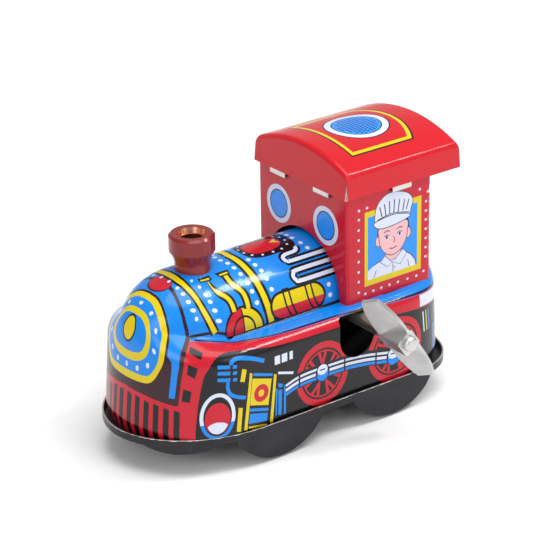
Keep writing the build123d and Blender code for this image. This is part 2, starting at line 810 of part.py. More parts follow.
def all_parts():
    """Every separate piece by its node name."""
    inner = motor_half_width + arbor_end
    axle_reach = wheel_inner_y + wheel_width
    parts = {
        "body_shell": body_shell(),
        "base_pan": base_pan(),
        "cab": cab(),
        "cab_roof": cab_roof(),
        "chimney": chimney(),
        "chimney_eyelet": chimney_eyelet(),
        "motor_plate_left": motor_plate(1),
        "motor_plate_right": motor_plate(-1),
        "motor_pillars": join([pillar(*place) for place in pillar_places()]),
        "spring_post": pillar(*spring_post_place()),
        "mainspring": mainspring(),
        "winding_arbor": winding_arbor(),
        "ratchet_wheel": ratchet_wheel(),
        "click": click(),
        "click_spring": click_spring(),
        "click_rivet": click_rivet(),
        "great_gear": great_gear(),
        "key_wings": key_wings(),
        "key_rivet": key_rivet(),
        "drive_axle": cross_rod(axle_radius, (-axle_reach, axle_reach), drive_axle_x, wheel_radius),
        "front_axle": cross_rod(axle_radius, (-axle_reach, axle_reach), front_axle_x, wheel_radius),
        "front_bracket": front_bracket(),
        "bracket_rivets": bracket_rivets(),
    }
    parts.update(cluster_parts())
    back = direction((drive_axle_x, wheel_radius), cluster_place())
    phase = back + 180 / pinion_teeth
    parts["drive_pinion"] = gear(
        pinion_teeth, drive_pinion_y, drive_axle_x, wheel_radius, phase, axle_radius
    )
    for x, name in ((front_axle_x, "front"), (drive_axle_x, "drive")):
        for side in (1, -1):
            parts.update(wheel_and_tyre(x, name, side))
    return parts


os.makedirs("parts", exist_ok=True)
for node, solid in all_parts().items():
    export_step(Pos(0, -key_side_shift, 0) * solid, os.path.join("parts", node + ".step"))
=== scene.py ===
import bpy
import numpy as np
from mathutils import Matrix, Vector
from mathutils.geometry import delaunay_2d_cdt


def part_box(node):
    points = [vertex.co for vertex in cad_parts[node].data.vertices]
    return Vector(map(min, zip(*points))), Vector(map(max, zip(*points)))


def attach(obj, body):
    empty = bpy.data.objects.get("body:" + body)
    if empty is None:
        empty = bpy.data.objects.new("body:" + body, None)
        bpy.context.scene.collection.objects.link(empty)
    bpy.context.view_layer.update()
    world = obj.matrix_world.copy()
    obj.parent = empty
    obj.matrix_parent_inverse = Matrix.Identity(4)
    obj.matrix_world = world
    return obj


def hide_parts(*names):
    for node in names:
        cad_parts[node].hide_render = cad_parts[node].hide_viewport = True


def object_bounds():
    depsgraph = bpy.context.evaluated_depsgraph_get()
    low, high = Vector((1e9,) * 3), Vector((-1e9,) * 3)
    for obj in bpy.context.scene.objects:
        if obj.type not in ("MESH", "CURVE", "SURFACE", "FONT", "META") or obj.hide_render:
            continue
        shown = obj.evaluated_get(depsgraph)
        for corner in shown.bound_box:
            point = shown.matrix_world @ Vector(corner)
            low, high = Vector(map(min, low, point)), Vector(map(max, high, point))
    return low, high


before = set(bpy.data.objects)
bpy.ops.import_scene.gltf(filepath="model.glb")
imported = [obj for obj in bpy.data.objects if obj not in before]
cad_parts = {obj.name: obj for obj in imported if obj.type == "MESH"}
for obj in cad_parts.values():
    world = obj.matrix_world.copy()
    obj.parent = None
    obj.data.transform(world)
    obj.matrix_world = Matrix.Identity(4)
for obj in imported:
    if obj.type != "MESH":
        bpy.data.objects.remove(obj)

cadLow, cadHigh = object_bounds()
mm = 0.001  # all drawing below is in millimetres, and meshes are in metres
scene = bpy.context.scene
shellLow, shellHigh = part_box("body_shell")
roofLow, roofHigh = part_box("cab_roof")
cabLow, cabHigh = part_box("cab")
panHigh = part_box("base_pan")[1]
chimneyLow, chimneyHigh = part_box("chimney")
midY = (shellLow.y + shellHigh.y) / 2 / mm  # the engine's middle plane
print("frame loaded", len(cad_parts), "nodes")


# inks as they look on white tin, red green blue from 0 to 255
inkColours = {
    "blue": (10, 124, 214), "red": (186, 20, 40), "roofRed": (192, 14, 30), "yellow": (206, 184, 6),
    "white": (202, 208, 228), "black": (15, 15, 20), "maroon": (50, 18, 26), "skin": (222, 172, 178),
    "hair": (28, 32, 48), "glass": (36, 136, 232), "mesh": (18, 44, 92), "lead": (46, 44, 52),
}


def inkValue(name):
    # screen colour to linear light: (c + 0.055) / 1.055 to the power 2.4
    c = np.array(inkColours[name]) / 255
    return np.append(np.where(c > 0.04045, ((c + 0.055) / 1.055) ** 2.4, c / 12.92), 1)


# the next functions give outlines on a flat sheet, as arrays of points in millimetres
def oval(cu, cv, ru, rv, steps=40, egg=0.0):
    # centre plus radius times cosine and sine, with egg squeezing the lower half's width
    t = np.linspace(0, 2 * np.pi, steps, endpoint=False)
    squeeze = 1 - egg * np.clip(-np.sin(t), 0, 1)
    return np.stack([cu + ru * np.cos(t) * squeeze, cv + rv * np.sin(t)], 1)


def smooth(points, steps=6, closed=False):
    # Catmull-Rom: each span is a cubic through its two points, sloped by their neighbours
    p = np.array(points, float)
    if closed:
        p = np.concatenate([p[-1:], p, p[:2]])
    else:
        p = np.concatenate([2 * p[:1] - p[1:2], p, 2 * p[-1:] - p[-2:-1]])
    t = np.linspace(0, 1, steps, endpoint=False)[None, :, None]
    a, b, c, d = (p[i : len(p) - 3 + i][:, None, :] for i in range(4))
    curve = 0.5 * (2 * b + (c - a) * t + (2 * a - 5 * b + 4 * c - d) * t**2 + (3 * b - a - 3 * c + d) * t**3)
    curve = curve.reshape(-1, 2)
    return curve if closed else np.concatenate([curve, p[-2:-1]])


def stroke(points, width, steps=6):
    # both sides of a smoothed line, half the width along its normal
    line = smooth(points, steps) if len(points) > 2 else np.array(points, float)
    along = np.gradient(line, axis=0)
    normal = np.stack([-along[:, 1], along[:, 0]], 1) / np.hypot(*along.T)[:, None]
    return np.concatenate([line + normal * width / 2, (line - normal * width / 2)[::-1]])


def ring(cu, cv, ru, rv, width, start=0.0, end=360.0, steps=40):
    # an arc of an oval with its width inwards, between two angles
    t = np.radians(np.linspace(start, end, steps))
    outer = np.stack([cu + ru * np.cos(t), cv + rv * np.sin(t)], 1)
    inner = np.stack([cu + (ru - width) * np.cos(t), cv + (rv - width) * np.sin(t)], 1)
    return np.concatenate([outer, inner[::-1]])


def refine(points, step=0.8):
    # splits every side of a closed outline into equal parts no longer than step, so that it can bend with
    # the sheet
    p = np.array(points, float)
    side = np.roll(p, -1, 0) - p
    parts = np.maximum(np.ceil(np.hypot(*side.T) / step), 1).astype(int)
    start = np.repeat(np.arange(len(p)), parts)
    share = (np.arange(parts.sum()) - np.repeat(np.cumsum(parts) - parts, parts)) / np.repeat(parts, parts)
    return p[start] + side[start] * share[:, None]


def box(u0, u1, v0, v1):
    # upright rectangle between two limits each way
    return np.array([(u0, v0), (u1, v0), (u1, v1), (u0, v1)], float)


def capsule(u0, u1, v0, v1, steps=14):
    # a bar with half-round ends
    r, m = (v1 - v0) / 2, (v0 + v1) / 2
    t = np.linspace(-np.pi / 2, np.pi / 2, steps)
    right = np.stack([u1 - r + r * np.cos(t), m + r * np.sin(t)], 1)
    left = np.stack([u0 + r - r * np.cos(t), m - r * np.sin(t)], 1)
    return np.concatenate([right, left])


def dots(places, ru, rv):
    # one small oval at each place
    return [oval(u, v, ru, rv, 10) for u, v in places]


def outlined(prints, shape, name, edge, edgeName="black"):
    # the same outline grown by edge along its normals, then the shape itself over it
    p = np.array(shape, float)
    turn = p[:, 0] @ np.roll(p[:, 1], -1) - np.roll(p[:, 0], -1) @ p[:, 1]
    p = p if turn > 0 else p[::-1]
    along = np.roll(p, -1, 0) - np.roll(p, 1, 0)
    normal = np.stack([along[:, 1], -along[:, 0]], 1) / np.maximum(np.hypot(*along.T), 1e-6)[:, None]
    prints += [(p + normal * edge, edgeName), (p, name)]


def pipe(prints, points, width, name, edge, edgeName="black"):
    # a wide stroke with a narrower one over it
    prints += [(stroke(points, width + 2 * edge), edgeName), (stroke(points, width), name)]


def printedSheet(name, outline, prints, ground, bend, gridU, gridV, thickness, holes=(), drop=None):
    # the flat drawing is triangulated with every ink edge in it; the last ink over a triangle is its colour.
    # bend(u, v) gives the outer face, its normal is the cross product of the two slopes,
    # and the inner face is the outer one moved inwards along that normal by the thickness.
    shapes = [(refine(outline, 2.0), ground)] + [(refine(s), c) for s, c in prints]
    shapes += [(refine(h), None) for h in holes]
    gu, gv = (a.ravel() for a in np.meshgrid(gridU, gridV))
    points, faces, count = [], [], 0
    for shape, _ in shapes:
        u, v = shape.T
        turn = u @ np.roll(v, -1) - np.roll(u, -1) @ v
        order = np.arange(count, count + len(u))
        faces.append((order if turn > 0 else order[::-1]).tolist())
        points.append(shape)
        count += len(u)
    points.append(np.stack([gu, gv], 1))
    count += len(gu)
    flat = [Vector(p) for p in np.concatenate(points)]
    vertsOut, _, facesOut, _, _, origFaces = delaunay_2d_cdt(flat, [], faces, 1, 1e-5)
    uv = np.array([tuple(p) for p in vertsOut])
    tris = np.array(facesOut)
    kept = np.array([0 in o for o in origFaces])
    top = np.array([max(o) if o else 0 for o in origFaces])
    isHole = np.array([c is None for _, c in shapes])
    keep = kept & ~isHole[top]
    tris, top = tris[keep], top[keep]
    a, b, c = (uv[tris[:, i]] for i in range(3))
    area = (b[:, 0] - a[:, 0]) * (c[:, 1] - a[:, 1]) - (b[:, 1] - a[:, 1]) * (c[:, 0] - a[:, 0])
    tris, top, area = (x[np.abs(area) > 1e-9] for x in (tris, top, area))
    tris = np.where((area > 0)[:, None], tris, tris[:, ::-1])

    u, v = uv.T
    outer = bend(u, v)
    step = 0.02
    du = bend(np.minimum(u + step, gridU[-1]), v) - bend(np.maximum(u - step, gridU[0]), v)
    dv = bend(u, np.minimum(v + step, gridV[-1])) - bend(u, np.maximum(v - step, gridV[0]))
    normal = np.cross(du, dv)
    size = np.linalg.norm(normal, axis=1)
    faceNormal = np.cross(outer[tris[:, 1]] - outer[tris[:, 0]], outer[tris[:, 2]] - outer[tris[:, 0]])
    summed = np.zeros_like(outer)
    for i in range(3):
        np.add.at(summed, tris[:, i], faceNormal)
    weak = size < 1e-6  # at a pole the slopes vanish, so the faces' mean stands in
    normal[weak] = summed[weak]
    normal /= np.maximum(np.linalg.norm(normal, axis=1), 1e-12)[:, None]
    if (normal * (outer - outer.mean(0))).sum() < 0:  # outwards is away from the sheet's middle
        normal = -normal
    if drop is not None:
        tris, top = (x[~drop(outer[tris].mean(1))] for x in (tris, top))

    keys = np.round(outer / 0.0005).astype(np.int64)
    _, first, same = np.unique(keys, axis=0, return_index=True, return_inverse=True)
    tris = same.ravel()[tris]
    outer, normal = outer[first], normal[first]
    whole = (tris[:, 0] != tris[:, 1]) & (tris[:, 1] != tris[:, 2]) & (tris[:, 2] != tris[:, 0])
    tris, top = tris[whole], top[whole]
    facing = np.cross(outer[tris[:, 1]] - outer[tris[:, 0]], outer[tris[:, 2]] - outer[tris[:, 0]])
    flip = (facing * normal[tris].mean(1)).sum(1) < 0
    tris[flip] = tris[flip][:, ::-1]

    n = len(outer)
    ends = np.concatenate([tris[:, [0, 1]], tris[:, [1, 2]], tris[:, [2, 0]]])
    code = ends[:, 0] * n + ends[:, 1]
    back = ends[:, 1] * n + ends[:, 0]
    rim = ends[~np.isin(code, back)]
    p, q = rim.T
    rimTris = np.concatenate([np.stack([q, p, p + n], 1), np.stack([q, p + n, q + n], 1)])
    verts = np.concatenate([outer, outer - normal * thickness]) * mm
    allTris = np.concatenate([tris, tris[:, ::-1] + n, rimTris])
    rimPoints = verts[rimTris]
    rimNormal = np.cross(rimPoints[:, 1] - rimPoints[:, 0], rimPoints[:, 2] - rimPoints[:, 0])
    rimNormal /= np.maximum(np.linalg.norm(rimNormal, axis=1), 1e-15)[:, None]
    loopNormals = np.concatenate([normal[tris], -normal[tris[:, ::-1]],
        np.repeat(rimNormal[:, None], 3, 1)]).reshape(-1, 3)
    table = np.array([inkValue(c or ground) for _, c in shapes])
    ink = np.concatenate([table[top], np.tile(table[0], (len(tris) + len(rimTris), 1))])
    inside = np.concatenate([np.zeros(len(tris)), np.ones(len(tris) + len(rimTris))]).astype(np.int32)
    print(name, len(allTris), "triangles")
    return buildMesh(name, verts, allTris, loopNormals, np.repeat(ink, 3, 0), inside)


def buildMesh(name, verts, tris, loopNormals, ink, slots):
    # arrays to a mesh: corners get their own normals and ink, faces their material slot
    mesh = bpy.data.meshes.new(name)
    mesh.vertices.add(len(verts))
    mesh.vertices.foreach_set("co", verts.astype(np.float32).ravel())
    mesh.loops.add(tris.size)
    mesh.loops.foreach_set("vertex_index", tris.astype(np.int32).ravel())
    mesh.polygons.add(len(tris))
    mesh.polygons.foreach_set("loop_start", np.arange(0, tris.size, 3, dtype=np.int32))
    mesh.polygons.foreach_set("material_index", slots)
    mesh.update(calc_edges=True)
    layer = mesh.color_attributes.new("ink", "FLOAT_COLOR", "CORNER")
    layer.data.foreach_set("color", ink.astype(np.float32).ravel())
    mesh.normals_split_custom_set(loopNormals.tolist())
    piece = bpy.data.objects.new(name, mesh)
    scene.collection.objects.link(piece)
    return piece


def newMaterial(name):
    # a fresh material with its nodes, its links and its shader
    mat = bpy.data.materials.new(name)
    mat.use_nodes = True
    nodes = mat.node_tree.nodes
    return mat, nodes, mat.node_tree.links, nodes["Principled BSDF"]


def addNoise(nodes, links, source, scale, detail=4.0, rough=0.55):
    # scale counts the grains in a metre
    noise = nodes.new("ShaderNodeTexNoise")
    noise.inputs["Scale"].default_value = scale
    noise.inputs["Detail"].default_value = detail
    noise.inputs["Roughness"].default_value = rough
    links.new(source, noise.inputs["Vector"])
    return noise.outputs["Fac"]


def addRange(nodes, links, source, low, high, start=0.3, end=0.7):
    # straight line from low at start to high at end, flat outside
    span = nodes.new("ShaderNodeMapRange")
    for key, value in (("From Min", start), ("From Max", end), ("To Min", low), ("To Max", high)):
        span.inputs[key].default_value = value
    links.new(source, span.inputs["Value"])
    return span.outputs["Result"]


def addBump(nodes, links, height, strength, distance, below=None):
    # tilts the normal by the slope of height times distance, over the bump below it
    bump = nodes.new("ShaderNodeBump")
    bump.inputs["Strength"].default_value = strength
    bump.inputs["Distance"].default_value = distance
    links.new(height, bump.inputs["Height"])
    if below is not None:
        links.new(below, bump.inputs["Normal"])
    return bump.outputs["Normal"]


def addMix(nodes, links, factor, first, second, blend="MIX"):
    # colours given as tuples are set on the sockets, and outputs are linked
    mix = nodes.new("ShaderNodeMix")
    mix.data_type = "RGBA"
    mix.blend_type = blend
    for socket, value in ((mix.inputs[0], factor), (mix.inputs[6], first), (mix.inputs[7], second)):
        if isinstance(value, bpy.types.NodeSocket):
            links.new(value, socket)
        else:
            socket.default_value = value
    return mix.outputs[2]


printFinish = dict(
    specksPerMetre=5200, smearsPerMetre=420, mottle=0.12, ripplesPerMetre=170, ripple=0.22,
    rippleDepth=0.0004, peelPerMetre=1500, peel=0.12, peelDepth=0.00004, roughLow=0.2, roughHigh=0.3,
    coat=0.22, coatRough=0.07, shine=0.22,
)


def printedEnamel():
    # ink from the sheet's own colour attribute, faintly mottled, under a stoved varnish with orange peel
    mat, nodes, links, shader = newMaterial("printedEnamel")
    ink = nodes.new("ShaderNodeAttribute")
    ink.attribute_name = "ink"
    place = nodes.new("ShaderNodeTexCoord").outputs["Object"]
    specks = addNoise(nodes, links, place, printFinish["specksPerMetre"], 2)
    mottle = addRange(nodes, links, specks, 0.0, printFinish["mottle"])
    colour = addMix(nodes, links, mottle, ink.outputs["Color"], (0.75, 0.75, 0.75, 1), "MULTIPLY")
    links.new(colour, shader.inputs["Base Color"])
    smear = addNoise(nodes, links, place, printFinish["smearsPerMetre"])
    links.new(addRange(nodes, links, smear, printFinish["roughLow"], printFinish["roughHigh"]),
        shader.inputs["Roughness"])
    fine = addNoise(nodes, links, place, printFinish["peelPerMetre"], 2)
    peel = addBump(nodes, links, fine, printFinish["peel"], printFinish["peelDepth"])
    broad = addNoise(nodes, links, place, printFinish["ripplesPerMetre"], 1)
    ripple = addBump(nodes, links, broad, printFinish["ripple"], printFinish["rippleDepth"], peel)
    links.new(ripple, shader.inputs["Normal"])
    links.new(ripple, shader.inputs["Coat Normal"])
    shader.inputs["Specular IOR Level"].default_value = printFinish["shine"]
    shader.inputs["Coat Weight"].default_value = printFinish["coat"]
    shader.inputs["Coat Roughness"].default_value = printFinish["coatRough"]
    return mat


metalGrain = dict(stretch=0.06, linesPerMetre=6500, lineDepth=0.00003, dullest=1.35, shiniest=0.75)
paintGrain = dict(
    patchesPerMetre=330, dullPerMetre=900, wearPerMetre=700, peelPerMetre=1300, peel=0.15, peelDepth=0.00005,
    wear=0.0001, wearStep=0.00005, dullest=1.3, shiniest=0.8, coatRough=0.08,
)


def bareMetal(name, colour, darker, rough, scratch=0.0, patchScale=260, metallic=1.0):
    # metal whose colour drifts between two tones in patches, with fine rolling lines along the engine
    mat, nodes, links, shader = newMaterial(name)
    place = nodes.new("ShaderNodeTexCoord").outputs["Object"]
    patches = addNoise(nodes, links, place, patchScale)
    links.new(addMix(nodes, links, addRange(nodes, links, patches, 0, 1), colour, darker),
        shader.inputs["Base Color"])
    squash = nodes.new("ShaderNodeMapping")
    squash.inputs["Scale"].default_value = (metalGrain["stretch"], 1, 1)
    links.new(place, squash.inputs["Vector"])
    lines = addNoise(nodes, links, squash.outputs["Vector"], metalGrain["linesPerMetre"], 2)
    roughness = addRange(nodes, links, patches, rough * metalGrain["shiniest"], rough * metalGrain["dullest"])
    links.new(roughness, shader.inputs["Roughness"])
    if scratch:
        links.new(addBump(nodes, links, lines, scratch, metalGrain["lineDepth"]), shader.inputs["Normal"])
    shader.inputs["Metallic"].default_value = metallic
    return mat


def paintedTin(name, colour, tint, rough, coat, shine=0.5, edgeFrom=None, edgeColour=(0.62, 0.6, 0.56, 1)):
    # paint with dust specks and orange peel; above edgeFrom, a height, the cut edge shows bare metal
    mat, nodes, links, shader = newMaterial(name)
    grain = paintGrain
    place = nodes.new("ShaderNodeTexCoord").outputs["Object"]
    patches = addNoise(nodes, links, place, grain["patchesPerMetre"])
    paint = addMix(nodes, links, addRange(nodes, links, patches, 0, 1), colour, tint)
    dull = addNoise(nodes, links, place, grain["dullPerMetre"])
    roughness = addRange(nodes, links, dull, rough * grain["shiniest"], rough * grain["dullest"])
    if edgeFrom is not None:
        split = nodes.new("ShaderNodeSeparateXYZ")
        links.new(place, split.inputs["Vector"])
        worn = nodes.new("ShaderNodeMath")
        worn.operation = "ADD"
        wear = addNoise(nodes, links, place, grain["wearPerMetre"])
        wobble = addRange(nodes, links, wear, -grain["wear"], grain["wear"])
        links.new(split.outputs["Z"], worn.inputs[0])
        links.new(wobble, worn.inputs[1])
        bare = addRange(nodes, links, worn.outputs["Value"], 0, 1, edgeFrom, edgeFrom + grain["wearStep"])
        paint = addMix(nodes, links, bare, paint, edgeColour)
        links.new(bare, shader.inputs["Metallic"])
    links.new(paint, shader.inputs["Base Color"])
    links.new(roughness, shader.inputs["Roughness"])
    bumps = addNoise(nodes, links, place, grain["peelPerMetre"], 2)
    links.new(addBump(nodes, links, bumps, grain["peel"], grain["peelDepth"]), shader.inputs["Normal"])
    shader.inputs["Specular IOR Level"].default_value = shine
    shader.inputs["Coat Weight"].default_value = coat
    shader.inputs["Coat Roughness"].default_value = grain["coatRough"]
    return mat


def copperFromAxis(mat, centre, top, radius=0.00302, depth=0.0001):
    # inside the mouth, closer to the upright axis than radius and below the rim by depth, the lacquer
    # gives way to copper
    nodes, links = mat.node_tree.nodes, mat.node_tree.links
    shader = nodes["Principled BSDF"]
    place = nodes.new("ShaderNodeTexCoord").outputs["Object"]
    split = nodes.new("ShaderNodeSeparateXYZ")
    links.new(place, split.inputs["Vector"])
    flat = nodes.new("ShaderNodeCombineXYZ")
    links.new(split.outputs["X"], flat.inputs["X"])
    links.new(split.outputs["Y"], flat.inputs["Y"])
    away = nodes.new("ShaderNodeVectorMath")
    away.operation = "DISTANCE"
    links.new(flat.outputs["Vector"], away.inputs[0])
    away.inputs[1].default_value = (centre.x, centre.y, 0)
    near = addRange(nodes, links, away.outputs["Value"], 1, 0, radius - 0.00002, radius + 0.00002)
    low = addRange(nodes, links, split.outputs["Z"], 1, 0, top - depth, top - depth + 0.00003)
    both = nodes.new("ShaderNodeMath")
    both.operation = "MULTIPLY"
    links.new(near, both.inputs[0])
    links.new(low, both.inputs[1])
    paint = shader.inputs["Base Color"].links[0].from_socket
    links.new(addMix(nodes, links, both.outputs["Value"], paint, (0.62, 0.3, 0.2, 1)),
        shader.inputs["Base Color"])
    links.new(addRange(nodes, links, both.outputs["Value"], 0.12, 1, 0, 1), shader.inputs["Metallic"])


enamel = printedEnamel()
bareTin = bareMetal("bareTin", (0.66, 0.65, 0.62, 1), (0.5, 0.49, 0.47, 1), 0.3, 0.2)
print("materials for the printed sheets made")


body = dict(
    floor=6.7, nose=shellHigh.x / mm, tail=shellLow.x / mm, half=(shellHigh.y - shellLow.y) / 2 / mm,
    shelf=25.2, boilerRadius=11.3, shoulder=2.4, crease=0.5, frontCentre=18.6, rearCentre=-18.0,
    frontSweep=28.0, rearSweep=30.0, frontPower=2.08, rearPower=2.6, blendPower=0.95, rearBlend=2.6,
    noseTop=16.3, noseKnee=24.0, nosePower=2.2, tailTop=17.6, tailKnee=24.0, tailPower=2.3, thickness=0.3,
    tuck=0.02, tuckHeight=2.4,
)
crownZ = body["shelf"] + body["boilerRadius"]


def lengthAlong(points):
    # running sum of the distances between neighbouring points
    return np.concatenate([[0], np.cumsum(np.hypot(*np.diff(points, axis=0).T))])


def sideSection():
    # half a cross-section: skirt, shoulder arc, shelf, small hollow crease, then the boiler's quarter circle
    names = ("shoulder", "crease", "boilerRadius", "shelf", "half")
    r, fold, radius, shelf, half = (body[name] for name in names)
    t = np.radians(np.linspace(0, 90, 13))
    shoulder = np.stack([half - r + r * np.cos(t), shelf - r + r * np.sin(t)], 1)
    foot = np.sqrt((radius + fold) ** 2 - fold**2)
    lean = np.arctan2(fold, foot)
    t = np.linspace(-np.pi / 2, -np.pi + lean, 6)
    hollow = np.stack([foot + fold * np.cos(t), shelf + fold + fold * np.sin(t)], 1)
    t = np.linspace(lean, np.pi / 2, 40)[1:]
    boiler = np.stack([radius * np.cos(t), shelf + radius * np.sin(t)], 1)
    boiler[-1, 0] = 0
    return np.concatenate([[(half, body["floor"])], shoulder, hollow, boiler])


def endSection(low, top, knee, power):
    # upright end: a line up to the knee, then a superellipse over to the crown
    t = np.linspace(0, np.pi / 2, 60)
    reach = top * np.cos(t) ** (2 / power)
    reach[-1] = 0
    height = knee + (crownZ - knee) * np.sin(t) ** (2 / power)
    return np.concatenate([[(low, body["floor"])], np.stack([reach, height], 1)])


side = sideSection()
sideV = lengthAlong(side)
shellV = sideV[-1]
front = endSection(body["nose"] - body["frontCentre"], body["noseTop"], body["noseKnee"], body["nosePower"])
rear = endSection(body["rearCentre"] - body["tail"], body["tailTop"], body["tailKnee"], body["tailPower"])
frontV = lengthAlong(front) * shellV / lengthAlong(front)[-1]
rearV = lengthAlong(rear) * shellV / lengthAlong(rear)[-1]
straight = body["frontCentre"] - body["rearCentre"]
halfLoop = body["frontSweep"] + straight + body["rearSweep"]


def bendBody(s, v):
    # s runs round the engine from the nose, left side positive; v runs up from the floor to the crown.
    # Each end is a superellipse in plan between the side section and the end section, blended by a cosine.
    a = np.abs(s)
    y0, z0 = np.interp(v, sideV, side[:, 0]), np.interp(v, sideV, side[:, 1])
    turn = np.clip(a / body["frontSweep"], 0, 1) * np.pi / 2
    back = np.clip((halfLoop - a) / body["rearSweep"], 0, 1) * np.pi / 2
    atFront, atRear = a < body["frontSweep"], a > body["frontSweep"] + straight
    reachF, zF = np.interp(v, frontV, front[:, 0]), np.interp(v, frontV, front[:, 1])
    reachR, zR = np.interp(v, rearV, rear[:, 0]), np.interp(v, rearV, rear[:, 1])
    cosF, sinF, cosR, sinR = (np.clip(f(x), 0, 1) for x in (turn, back) for f in (np.cos, np.sin))
    x = np.where(atFront, body["frontCentre"] + reachF * cosF ** (2 / body["frontPower"]),
        body["frontCentre"] - (a - body["frontSweep"]))
    x = np.where(atRear, body["rearCentre"] - reachR * cosR ** (2 / body["rearPower"]), x)
    y = np.where(atFront, y0 * sinF ** (2 / body["frontPower"]),
        np.where(atRear, y0 * sinR ** (2 / body["rearPower"]), y0))
    liftF = np.where(atFront, (zF - z0) * cosF ** body["blendPower"], 0)
    liftR = np.where(atRear, (zR - z0) * cosR ** body["rearBlend"], 0)
    z = z0 + liftF + liftR
    # the foot draws in to stand inside the pan's rim
    tuck = 1 - body["tuck"] * np.clip(1 - v / body["tuckHeight"], 0, 1)
    return np.stack([x * tuck, midY + np.where(s < 0, -y, y) * tuck, z], -1)


def mirrorPrints(prints):
    # left side first, then the same shapes with s negated for the right side
    return prints + [(np.array(p) * (-1, 1), c) for p, c in prints]


